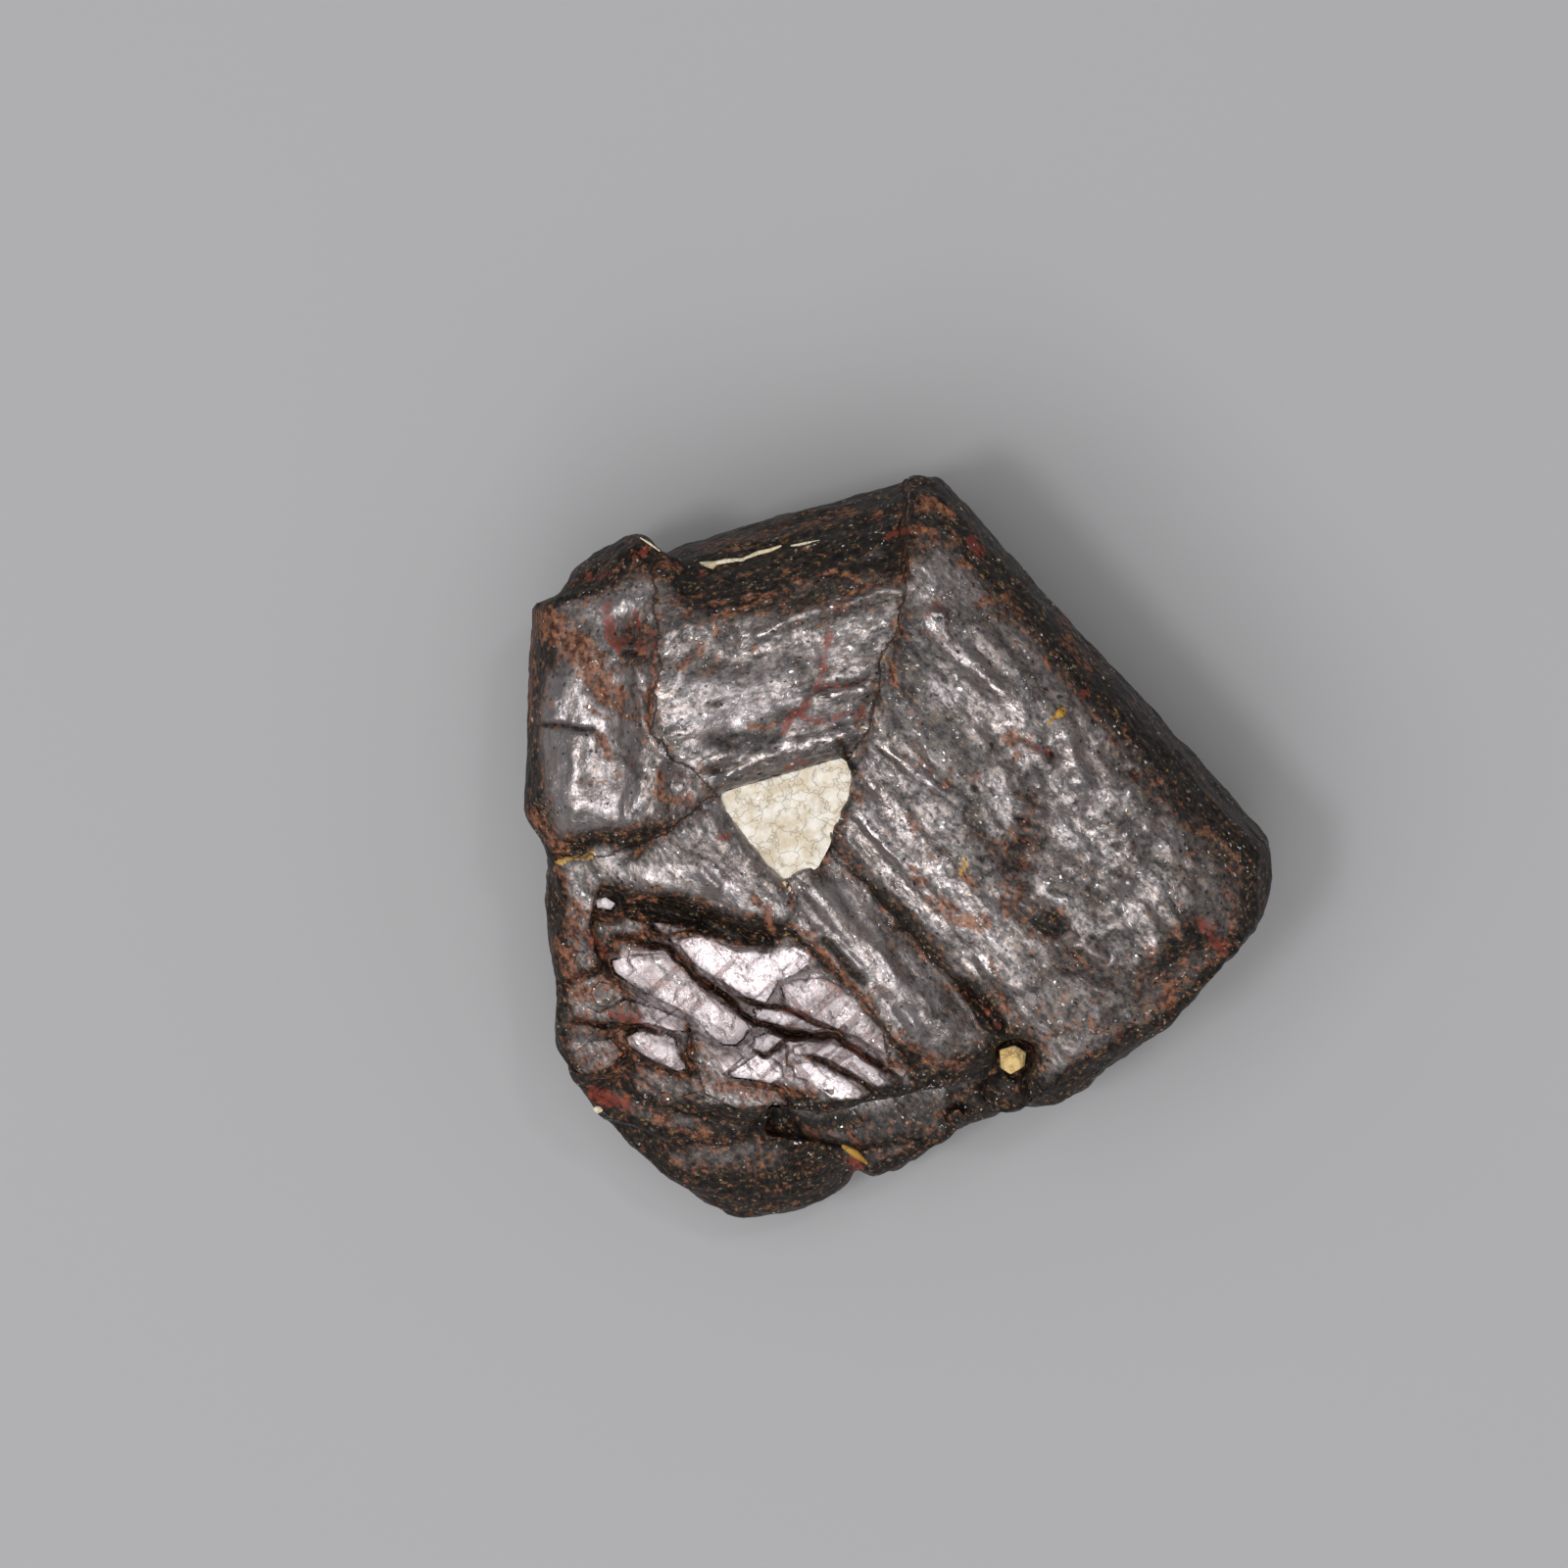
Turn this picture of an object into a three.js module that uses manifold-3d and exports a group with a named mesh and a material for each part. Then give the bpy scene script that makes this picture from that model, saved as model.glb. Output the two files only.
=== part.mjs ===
// A cyclic twin of rutile about 19 mm across, lying on its broken underside.
//
// Short square-built prisms, twinned at an elbow of about 64 degrees, grow round a three-cornered hollow that is
// plugged with pale matrix. The lower left of the ring is broken, and a worn shelf of older growth shows below it.
//
// Millimetres, +Z up. The origin is the middle of the footprint, on the surface that the crystal rests on.
// A heading is an angle in plan, in degrees anticlockwise from +X. A prism's section is drawn across its c-axis:
// v runs 90 degrees to the left of the axis heading, away from the hollow, and z is the height.

import * as THREE from "three";
import { ConvexGeometry } from "three/addons/geometries/ConvexGeometry.js";
import { mergeVertices } from "three/addons/utils/BufferGeometryUtils.js";
import Module from "manifold-3d";

const wasm = await Module();
wasm.setup();

// ---- Driving dimensions ----

const RIM_HEIGHT = 10.9; // crest of the two longest prisms
const SHOULDER_HEIGHT = 9.5; // where their outer faces turn down into the side walls
const GIRDLE_HEIGHT = 7.2; // top of the upright part of the side walls
const WALL_FOOT = 3.4; // bottom of the upright part of the side walls
const HOLLOW_FLOOR = 7.0; // bottom of the three-cornered hollow
const PLUG_TOP = 9.5;
const FRACTURE_HEIGHT = 8.7; // highest of the broken slabs
const SHELF_HEIGHT = 6.2; // crown of the worn lower shelf

const TWIN_ELBOW = 64; // between the c-axes of the upper and right-hand prisms
const TOP_AXIS = 16; // c-axis headings
const RIGHT_AXIS = TOP_AXIS - TWIN_ELBOW;
const LEFT_AXIS = 88;
const LOWER_AXIS = -52;

const STRIATION_PITCH = 0.5;
const STRIATION_DEPTH = 0.05;
const SEAM_WIDTH = 0.34;
const SEAM_DEPTH = 0.4;
const SEAT_GAP = 0.25; // between the pale pieces and the rutile round them
const OVERLAP = 0.05; // neighbours reach this far into each other before they are joined
const REACH = 40; // longer than anything here, for cutting blocks and blanks

// ---- Solids ----

/** A small repeatable source of irregular numbers from 0 to 1. */
function irregular(seed) {
  let state = seed;
  return () => {
    state = (state * 16807) % 2147483647;
    return state / 2147483647;
  };
}

/** A closed three.js geometry as a manifold solid. */
function solidOf(geometry) {
  const bare = geometry.clone();
  bare.deleteAttribute("normal");
  bare.deleteAttribute("uv");
  const merged = mergeVertices(bare, 1e-4);
  const mesh = new wasm.Mesh({
    numProp: 3,
    vertProperties: merged.attributes.position.array,
    triVerts: new Uint32Array(merged.index.array),
  });
  return new wasm.Manifold(mesh);
}

/** A manifold solid as a three.js geometry with flat faces. */
function geometryOf(solid) {
  const mesh = solid.getMesh();
  const indexed = new THREE.BufferGeometry();
  indexed.setAttribute("position", new THREE.BufferAttribute(mesh.vertProperties, 3));
  indexed.setIndex(new THREE.BufferAttribute(mesh.triVerts, 1));
  const flat = indexed.toNonIndexed();
  flat.computeVertexNormals();
  return flat;
}

function union(solids) {
  return solids.reduce((joined, solid) => joined.add(solid));
}

/** A plan outline raised straight up from one height to another. */
function column(outline, low, high) {
  const shape = new THREE.Shape(outline.map(([x, y]) => new THREE.Vector2(x, y)));
  const raised = new THREE.ExtrudeGeometry(shape, { depth: high - low, bevelEnabled: false });
  return solidOf(raised.translate(0, 0, low));
}

/** Unit vector in plan along a heading. */
function along(heading) {
  const angle = THREE.MathUtils.degToRad(heading);
  return new THREE.Vector3(Math.cos(angle), Math.sin(angle), 0);
}

/** Everything beyond a flat face that goes through a point and falls away towards a heading at a tilt from level.
    A tilt over 90 degrees is an undercut. */
function beyond([x, y, z], heading, tilt) {
  const block = new THREE.BoxGeometry(REACH, REACH, REACH).translate(0, 0, REACH / 2);
  block.rotateY(THREE.MathUtils.degToRad(tilt));
  block.rotateZ(THREE.MathUtils.degToRad(heading));
  return solidOf(block.translate(x, y, z));
}

function faceted(solid, faces) {
  return faces.reduce((left, [point, heading, tilt]) => left.subtract(beyond(point, heading, tilt)), solid);
}

/** Nicks the stretches of an exposed section line with shallow growth lines that run along the prism. */
function striated(line, seed) {
  const random = irregular(seed);
  const nicked = [line[0]];
  for (let i = 1; i < line.length; i += 1) {
    const from = new THREE.Vector2(...line[i - 1]);
    const to = new THREE.Vector2(...line[i]);
    const length = from.distanceTo(to);
    const step = to.clone().sub(from).divideScalar(length);
    const inward = new THREE.Vector2(step.y, -step.x);
    let at = STRIATION_PITCH * (0.4 + 0.5 * random());
    while (at < length - STRIATION_PITCH * 0.4) {
      const half = STRIATION_PITCH * (0.14 + 0.14 * random());
      const depth = STRIATION_DEPTH * (0.5 + random());
      const middle = from.clone().addScaledVector(step, at);
      const low = middle.clone().addScaledVector(inward, depth);
      nicked.push(middle.clone().addScaledVector(step, -half).toArray());
      nicked.push(low.toArray());
      nicked.push(middle.clone().addScaledVector(step, half).toArray());
      at += 2 * half + STRIATION_PITCH * (0.35 + 0.9 * random());
    }
    nicked.push(line[i]);
  }
  return nicked;
}

/** A prism along its c-axis: the section, closed down to the base, between two distances along the axis. */
function prism({ origin, heading, section, seed, reach = [-REACH / 2, REACH / 2], dip = 0 }) {
  const line = striated(section, seed);
  const [first, last] = [line[0], line[line.length - 1]];
  const closed = [...line, [last[0], -1], [first[0], -1]];
  const shape = new THREE.Shape(closed.map(([v, z]) => new THREE.Vector2(v, z)));
  const bar = new THREE.ExtrudeGeometry(shape, { depth: reach[1] - reach[0], bevelEnabled: false });
  bar.translate(0, 0, reach[0]);
  const axis = along(heading);
  const across = along(heading + 90);
  bar.applyMatrix4(new THREE.Matrix4().makeBasis(across, new THREE.Vector3(0, 0, 1), axis));
  const tip = new THREE.Matrix4().makeRotationAxis(across, THREE.MathUtils.degToRad(dip));
  bar.translate(0, 0, -RIM_HEIGHT).applyMatrix4(tip).translate(0, 0, RIM_HEIGHT);
  return solidOf(bar.translate(origin[0], origin[1], 0));
}

/** Height of a solid's upper surface below a place in plan, or of the fallback where nothing is there. */
function surfaceOf(solid) {
  const target = new THREE.Mesh(geometryOf(solid));
  const ray = new THREE.Raycaster();
  const down = new THREE.Vector3(0, 0, -1);
  return (x, y, fallback = 0) => {
    ray.set(new THREE.Vector3(x, y, REACH), down);
    const hit = ray.intersectObject(target, false)[0];
    return hit ? hit.point.z : fallback;
  };
}

/** A run of convex wedges along a path over a surface: a ridge above it, or a cutter for a groove below it. */
function wedgeRun(path, surface, width, height) {
  const base = height < 0 ? 0.25 : -0.2;
  const spread = (width / 2) * (1 + Math.abs(base / height));
  const section = (point, side) => {
    const z = surface(point[0], point[1]);
    return [
      new THREE.Vector3(point[0] + side.x * spread, point[1] + side.y * spread, z + base),
      new THREE.Vector3(point[0] - side.x * spread, point[1] - side.y * spread, z + base),
      new THREE.Vector3(point[0], point[1], z + height),
    ];
  };
  const pieces = [];
  for (let i = 1; i < path.length; i += 1) {
    const [from, to] = [path[i - 1], path[i]];
    const step = new THREE.Vector3(to[0] - from[0], to[1] - from[1], 0).normalize();
    const side = new THREE.Vector3(-step.y, step.x, 0);
    pieces.push(solidOf(new ConvexGeometry([...section(from, side), ...section(to, side)])));
  }
  return union(pieces);
}

/** A low lump or a shallow pit: a squashed ball with its middle on the surface. */
function lump([x, y], surface, radius, rise) {
  const ball = new THREE.IcosahedronGeometry(1, 1).scale(radius, radius * 0.75, rise);
  ball.rotateZ(THREE.MathUtils.degToRad(RIGHT_AXIS));
  return solidOf(ball.translate(x, y, surface(x, y)));
}

// ---- The twinned prisms ----

// Plan of the two seams that the right-hand prism shares with its neighbours.
const UPPER_SEAM = [[0.1, 6.5], [-0.3, 5.0], [-0.65, 4.2], [-0.95, 3.0], [-1.25, 2.3]];
const LOWER_SEAM = [[-2.0, 0.1], [-1.2, -0.45], [-0.5, -1.25], [0.3, -2.15], [1.0, -3.0], [1.9, -3.95], [3.1, -5.2]];

/** The large right-hand prism, which ends in a worn point. */
function rightPrism() {
  const section = [
    [-6.6, 8.95],
    [-5.7, 9.35],
    [-4.6, 9.75],
    [-2.6, 10.3],
    [-0.6, 10.8],
    [0, RIM_HEIGHT],
    [0.7, 10.85],
    [1.4, 10.55],
    [1.95, 10.1],
    [2.35, SHOULDER_HEIGHT],
    [2.6, 8.6],
    [2.75, GIRDLE_HEIGHT],
    [2.75, WALL_FOOT],
    [2.2, 1.6],
    [0.8, 0],
  ];
  const outline = [
    ...UPPER_SEAM,
    [-1.4, 1.4],
    [-1.85, 0.7],
    ...LOWER_SEAM,
    [3.3, -6.5],
    [4.0, -6.45],
    [4.9, -6.0],
    [5.5, -5.3],
    [6.2, -4.85],
    [7.0, -4.3],
    [8.6, -2.5],
    [9.25, -1.6],
    [9.6, -0.6],
    [9.5, 0.2],
    [12, 2],
    [4, 11],
    [0.8, 9.6],
    [0.2, 9.65],
  ];
  const bar = prism({ origin: [0.4, 6.3], heading: RIGHT_AXIS, section, seed: 11, dip: 2 });
  return faceted(bar.intersect(column(outline, 0, REACH)), [
    [[7.7, -3.0, 10.0], -46, 30],
    [[8.0, -3.3, 9.4], -44, 62],
    [[8.9, -0.6, 9.6], 2, 42],
    [[9.4, -0.5, 8.6], 4, 72],
    [[4.6, -5.3, 9.2], -60, 34],
    [[4.7, -5.7, 8.6], -60, 66],
    [[1.0, 8.6, 9.9], 78, 38],
    [[1.0, 9.3, 8.9], 75, 66],
  ]);
}

/** The upper prism, from the elbow at the top to the left-hand knob. */
function topPrism() {
  const section = [
    [-4.6, 9.5],
    [-3.42, 9.72],
    [-3.3, 10.1],
    [-1.4, 10.45],
    [-0.25, 10.6],
    [0, 10.75],
    [0.5, 10.5],
    [1.1, 10.0],
    [1.75, 9.3],
    [2.35, 8.3],
    [2.75, GIRDLE_HEIGHT],
    [2.94, WALL_FOOT + 2],
    [2.8, WALL_FOOT - 0.8],
    [1.2, 0],
  ];
  const outline = [
    [0.2 + OVERLAP, 9.65],
    [0.2 + OVERLAP, 11],
    [-4.4, 9.6],
    [-5.9, 7.75],
    [-6.4, 6.5],
    [-6.4, 3.2],
    [-4.9, 1.4],
    [-4.5, 1.5],
    ...UPPER_SEAM.toReversed().map(([x, y]) => [x + OVERLAP, y]),
  ];
  const bar = prism({ origin: [0.1, 6.55], heading: TOP_AXIS, section, seed: 23 });
  return faceted(bar.intersect(column(outline, 0, REACH)), [
    [[-3.8, 5.4, 10.5], 165, 8],
    [[-5.6, 7.2, 9.8], 150, 34],
  ]);
}

/** The left-hand prism: a low plateau with a rib along its inner side, bent down at both ends. */
function leftPrism() {
  const section = [
    [-1.6, 9.9],
    [-0.3, 9.95],
    [0.15, 10.25],
    [0.5, 10.25],
    [0.85, 9.95],
    [2.0, 9.9],
    [2.7, 9.7],
    [3.1, 9.1],
    [3.35, 8.2],
    [3.45, GIRDLE_HEIGHT],
    [3.45, WALL_FOOT],
    [2.9, 1.5],
    [1.6, 0],
  ];
  const outline = [
    [-4.5, 1.55],
    [-4.9, 1.3],
    [-5.5, 0.8],
    [-6.2, 0.3],
    [-7.2, -0.1],
    [-8.9, -0.2],
    [-9.4, 0.8],
    [-11, 2],
    [-11, 6],
    [-9.2, 6.4],
    [-8.5, 6.6],
    [-5.8, 7.2],
    [-5.2, 4.0],
  ];
  const bar = prism({ origin: [-6.1, 3.5], heading: LEFT_AXIS, section, seed: 31 });
  return faceted(bar.intersect(column(outline, 0, REACH)), [
    [[-7.2, 0.75, 9.9], -106, 28],
    [[-7.2, 0.35, 9.6], -104, 56],
    [[-8.6, 0.5, 9.2], -150, 52],
    [[-8.7, 2.6, 9.65], 176, 26],
    [[-7.5, 5.4, 9.8], 116, 16],
  ]);
}

/** The steep knob at the upper left corner. */
function cornerKnob() {
  const outline = [
    [-8.75, 6.35],
    [-8.35, 7.3],
    [-7.6, 7.9],
    [-6.95, 8.2],
    [-6.6, 8.15],
    [-6.1, 7.7],
    [-5.5, 7.5],
    [-5.4, 6.2],
    [-8.0, 5.4],
  ];
  return faceted(column(outline, 0, REACH), [
    [[-6.8, 6.2, 9.65], 108, 20],
    [[-7.2, 6.9, 9.3], 118, 40],
    [[-7.6, 7.2, 8.8], 132, 62],
    [[-7.3, 7.9, 7.6], 126, 76],
    [[-6.4, 7.2, 9.3], 62, 36],
    [[-8.3, 6.3, 9.1], 178, 46],
  ]);
}

/** The smooth block below the seam, left of the hollow, which overhangs the broken zone as a small cliff. */
function lowerLeftBlock() {
  const section = [
    [-3.6, 8.7],
    [-2.4, 9.3],
    [-1.2, 9.6],
    [-0.75, 9.8],
    [-0.5, 9.98],
    [-0.2, 9.78],
    [0.1, 9.95],
    [0.5, 9.7],
    [1.3, 9.1],
  ];
  const outline = [
    [-4.65, 1.5],
    [-5.5, 0.85],
    [-6.2, 0.35],
    [-7.1, -0.1],
    [-7.9, -0.3],
    [-7.7, -1.0],
    [-7.2, -1.3],
    [-6.4, -1.25],
    [-5.3, -1.55],
    [-4.2, -1.9],
    [-3.6, -2.2],
    [-2.9, -1.9],
    [-2.6, -0.5],
    [-3.2, -0.3],
  ];
  const bar = prism({ origin: [-4.5, 0], heading: LOWER_AXIS - 5, section, seed: 43 });
  return faceted(bar.intersect(column(outline, 0, REACH)), [
    [[-5.5, -0.7, 9.5], -108, 18],
    [[-5.4, -1.2, 9.3], -105, 60],
    [[-7.2, -0.4, 9.2], 205, 26],
  ]);
}

/** The long ribbed prism between the lower seam and the broken zone. */
function lowerPrism() {
  const section = [
    [-1.6, 8.4],
    [-1.25, 8.95],
    [-0.95, 9.25],
    [-0.65, 9.25],
    [-0.4, 9.05],
    [-0.1, 9.35],
    [0.2, 9.35],
    [0.7, 9.05],
    [1.4, 8.75],
  ];
  const outline = [
    [-3.3, -0.2],
    [-3.4, -1.3],
    [-2.6, -2.1],
    [-1.9, -2.6],
    [-1.2, -3.4],
    [-0.6, -4.1],
    [0.0, -4.9],
    [0.6, -5.9],
    [1.4, -6.1],
    [2.3, -5.8],
    [2.9, -5.5],
    ...LOWER_SEAM.toReversed().map(([x, y]) => [x + OVERLAP, y]),
    [-2.1, -0.1],
    [-2.6, -0.3],
  ];
  const bar = prism({ origin: [-1.0, -2.5], heading: LOWER_AXIS, section, seed: 57, dip: 3 });
  return faceted(bar.intersect(column(outline, 0, REACH)), [
    [[1.3, -4.9, 8.8], -70, 26],
    [[1.5, -5.5, 8.3], -68, 58],
  ]);
}

// ---- The broken zone and the shelf ----

// Floor of the broken zone, below its slabs.
const FRACTURE_BED = [
  [-9.0, 0.0],
  [-9.05, -1.5],
  [-8.85, -3.0],
  [-8.75, -5.0],
  [-8.3, -5.9],
  [-6.9, -5.7],
  [-5.5, -6.4],
  [-3.6, -6.8],
  [-3.3, -6.5],
  [-2.0, -6.75],
  [-1.0, -6.5],
  [0.4, -6.1],
  [1.4, -6.0],
  [0.5, -3.5],
  [-2.6, -1.2],
  [-7.0, 0.1],
];

// Cleavage slabs: [plan outline, a point on the top face, heading that it falls towards, tilt].
const SLABS = {
  leftStrip: [
    [[-8.95, -0.15], [-7.3, -0.1], [-7.7, -1.0], [-7.9, -1.9], [-7.6, -3.0], [-8.7, -3.4], [-8.95, -1.8]],
    [-8.2, -0.9, 8.9], 218, 16,
  ],
  upperSlab: [
    [[-6.0, -1.9], [-3.5, -1.9], [-2.2, -1.9], [-1.9, -2.6], [-2.6, -3.0], [-3.2, -3.3], [-3.4, -3.75],
      [-4.1, -3.75], [-4.9, -3.2], [-5.4, -2.8]],
    [-4.0, -2.9, FRACTURE_HEIGHT], -95, 8,
  ],
  longSlab: [
    [[-7.4, -2.2], [-6.0, -2.45], [-5.5, -2.95], [-5.0, -3.45], [-4.4, -3.9], [-3.6, -4.35], [-4.1, -4.8],
      [-4.9, -4.85], [-5.8, -4.2], [-6.9, -3.3]],
    [-5.4, -3.6, 8.5], -128, 12,
  ],
  rightSlab: [
    [[-2.8, -3.2], [-1.9, -2.9], [-1.2, -3.4], [-0.4, -4.3], [0.3, -5.4], [-0.4, -5.3], [-1.1, -4.75],
      [-1.9, -4.4], [-2.9, -3.9]],
    [-1.6, -4.0, 8.75], -78, 11,
  ],
  midSlab: [
    [[-3.6, -4.0], [-2.8, -4.05], [-1.9, -4.5], [-2.0, -4.65], [-2.9, -4.5]],
    [-2.8, -4.2, 8.6], -100, 8,
  ],
  lowSlab: [
    [[-2.9, -4.75], [-1.3, -4.95], [-0.5, -5.6], [0.0, -5.9], [-0.9, -6.35], [-1.9, -6.45], [-2.9, -6.1]],
    [-1.6, -5.6, 8.4], -112, 14,
  ],
  chipSlab: [
    [[-4.4, -5.7], [-4.1, -5.1], [-3.4, -4.75], [-3.05, -5.2], [-3.1, -5.9]],
    [-3.6, -5.3, 8.25], -140, 14,
  ],
  leftSlab: [
    [[-7.0, -4.6], [-6.2, -4.65], [-5.6, -4.95], [-5.45, -5.6], [-6.2, -5.5], [-6.8, -5.1]],
    [-6.2, -5.0, 8.1], -150, 16,
  ],
  cornerFacet: [
    [[-8.6, -4.9], [-7.5, -4.75], [-7.1, -5.2], [-7.6, -5.7], [-8.4, -5.9]],
    [-7.8, -5.2, 7.75], -118, 22,
  ],
  chunk: [
    [[-6.9, -5.6], [-6.3, -5.4], [-5.4, -5.6], [-4.4, -5.9], [-4.3, -6.5], [-5.3, -6.75], [-6.2, -6.5], [-6.8, -6.2]],
    [-5.6, -6.0, 7.5], -112, 16,
  ],
  lowestLedge: [
    [[-8.3, -5.9], [-7.2, -5.6], [-6.6, -6.2], [-5.3, -6.6], [-3.7, -6.8], [-3.9, -7.3], [-6.0, -7.4], [-7.7, -6.9]],
    [-6.0, -6.7, 6.8], -112, 24,
  ],
};

function slabs(forms) {
  return Object.values(forms).map(([outline, point, heading, tilt]) =>
    faceted(column(outline, 0.5, REACH), [[point, heading, tilt]]),
  );
}

/** The broken zone: cleavage slabs on a sloping bed, cut back in steps at the lower left edge. */
function brokenZone() {
  const bed = faceted(column(FRACTURE_BED, 0.5, REACH), [
    [[-4.5, -3.5, 8.1], -125, 9],
    [[-6.8, -5.8, 7.4], -118, 50],
  ]);
  return faceted(union([bed, ...slabs(SLABS)]), [
    [[-8.75, -3.0, 8.0], 187, 66],
    [[-8.4, -5.5, 7.2], 222, 70],
  ]);
}

/** The worn shelf of older growth that shows below the broken zone: a rounded lobe and a low ledge beside it. */
function lowerShelf() {
  const lobe = [
    [-8.1, -6.2],
    [-7.9, -6.6],
    [-6.9, -7.7],
    [-6.0, -8.5],
    [-5.0, -9.2],
    [-4.0, -9.6],
    [-2.8, -9.65],
    [-1.3, -9.15],
    [-1.1, -8.8],
    [-1.35, -7.9],
    [-0.9, -6.0],
    [-6.5, -5.5],
  ];
  const crown = new THREE.IcosahedronGeometry(1, 4).scale(4.3, 3.6, SHELF_HEIGHT - 2.4).translate(-4.3, -6.2, 2.4);
  const ledge = [
    [-1.5, -8.1],
    [-0.6, -8.45],
    [0.1, -8.2],
    [1.0, -7.65],
    [1.8, -7.15],
    [2.6, -6.85],
    [3.5, -6.45],
    [3.9, -5.2],
    [-2.2, -5.2],
  ];
  const floor = faceted(column(ledge, 0.4, REACH), [
    [[0.3, -7.2, 4.9], -60, 14],
    [[0.6, -7.7, 4.6], -60, 62],
  ]);
  return solidOf(crown).intersect(column(lobe, 0.4, REACH)).add(floor);
}

/** The dark space that runs in under the lower edge of the broken zone. */
function cave() {
  const mouth = [
    [-3.5, -7.3],
    [-3.4, -6.5],
    [-2.9, -5.9],
    [-0.8, -5.6],
    [1.0, -5.2],
    [2.3, -5.3],
    [2.6, -7.2],
    [-0.9, -7.7],
  ];
  return faceted(column(mouth, 4.5, 7.3), [
    [[-2.0, -6.6, 7.2], 95, 22],
    [[-3.2, -6.6, 6.0], 160, 50],
  ]);
}

// Broken chips wedged in the open end of the lower seam, in the same form as the slabs.
const CHIPS = {
  largeChip: [
    [[2.15, -6.0], [2.75, -5.75], [3.3, -6.1], [3.1, -6.65], [2.4, -6.7]],
    [2.7, -6.2, 6.8], -120, 26,
  ],
  smallChip: [
    [[1.2, -6.75], [1.55, -6.6], [1.8, -6.85], [1.55, -7.15], [1.2, -7.05]],
    [1.5, -6.9, 5.4], -60, 24,
  ],
};

// ---- The whole crystal ----

/** The body that all the prisms share, below the details of the upper side. */
function core() {
  const outline = [
    [-8.9, 5.6],
    [-8.2, 6.6],
    [-6.3, 7.2],
    [-0.6, 8.9],
    [1.0, 8.6],
    [8.8, -0.4],
    [8.6, -1.4],
    [5.2, -5.3],
    [3.4, -5.9],
    [1.6, -5.2],
    [-1.0, -5.6],
    [-3.4, -6.2],
    [-7.8, -6.0],
    [-8.5, -4.4],
    [-8.7, 0.6],
  ];
  return column(outline, 0, HOLLOW_FLOOR - 0.3);
}

// Undercut faces round the broken base: [a point on the face, heading, tilt].
const BASE_FACES = [
  [[4.9, 4.5, 2.4], RIGHT_AXIS + 90, 126],
  [[5.3, -5.5, 2.6], -50, 122],
  [[9.3, -1.2, 3.6], -6, 130],
  [[-2.6, 8.7, 3.2], TOP_AXIS + 90, 128],
  [[-9.4, 3.0, 2.8], 176, 118],
  [[-7.9, 7.2, 3.4], 134, 128],
  [[-8.8, -4.2, 3.0], 192, 122],
  [[-4.6, -9.3, 2.6], -100, 130],
  [[-6.6, -8.0, 3.0], -138, 120],
  [[0.8, -7.7, 2.6], -60, 124],
];

// Low knots and shallow pits of the faces: [place, radius].
const KNOTS = [
  [[2.85, -0.55], 0.36],
  [[2.75, 0.1], 0.42],
  [[3.3, 0.75], 0.42],
  [[3.5, 1.7], 0.36],
  [[5.7, 0.5], 0.36],
  [[5.8, -0.75], 0.32],
  [[5.85, 1.6], 0.4],
  [[4.6, 1.7], 0.4],
  [[7.0, -1.9], 0.4],
  [[6.3, -2.4], 0.36],
  [[6.9, 0.9], 0.32],
  [[0.95, 5.9], 0.36],
];
const PITS = [
  [[5.8, 2.15], 0.32],
  [[3.75, 2.65], 0.36],
  [[3.2, 1.25], 0.36],
  [[4.8, 2.4], 0.36],
  [[4.9, 0.9], 0.4],
  [[6.4, -0.2], 0.36],
  [[4.2, -0.4], 0.44],
  [[1.9, 5.1], 0.34],
  [[-7.0, 5.75], 0.6],
];
const KNOT_RISE = 0.3; // share of a knot's radius that stands proud
const PIT_DEPTH = 0.3; // share of a pit's radius that is sunk

// Ridges that stand on the faces: [path, width, height].
const RIBS = [
  [[[2.3, -1.0], [3.1, -1.3], [4.2, -2.0]], 0.34, 0.16],
  [[[4.1, -2.2], [5.2, -2.7]], 0.3, 0.14],
  [[[-6.5, 5.0], [-6.45, 3.4], [-6.1, 2.2]], 0.5, 0.16],
  [[[0.55, 6.2], [1.3, 5.3], [2.2, 4.4]], 0.5, 0.12],
];

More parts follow.
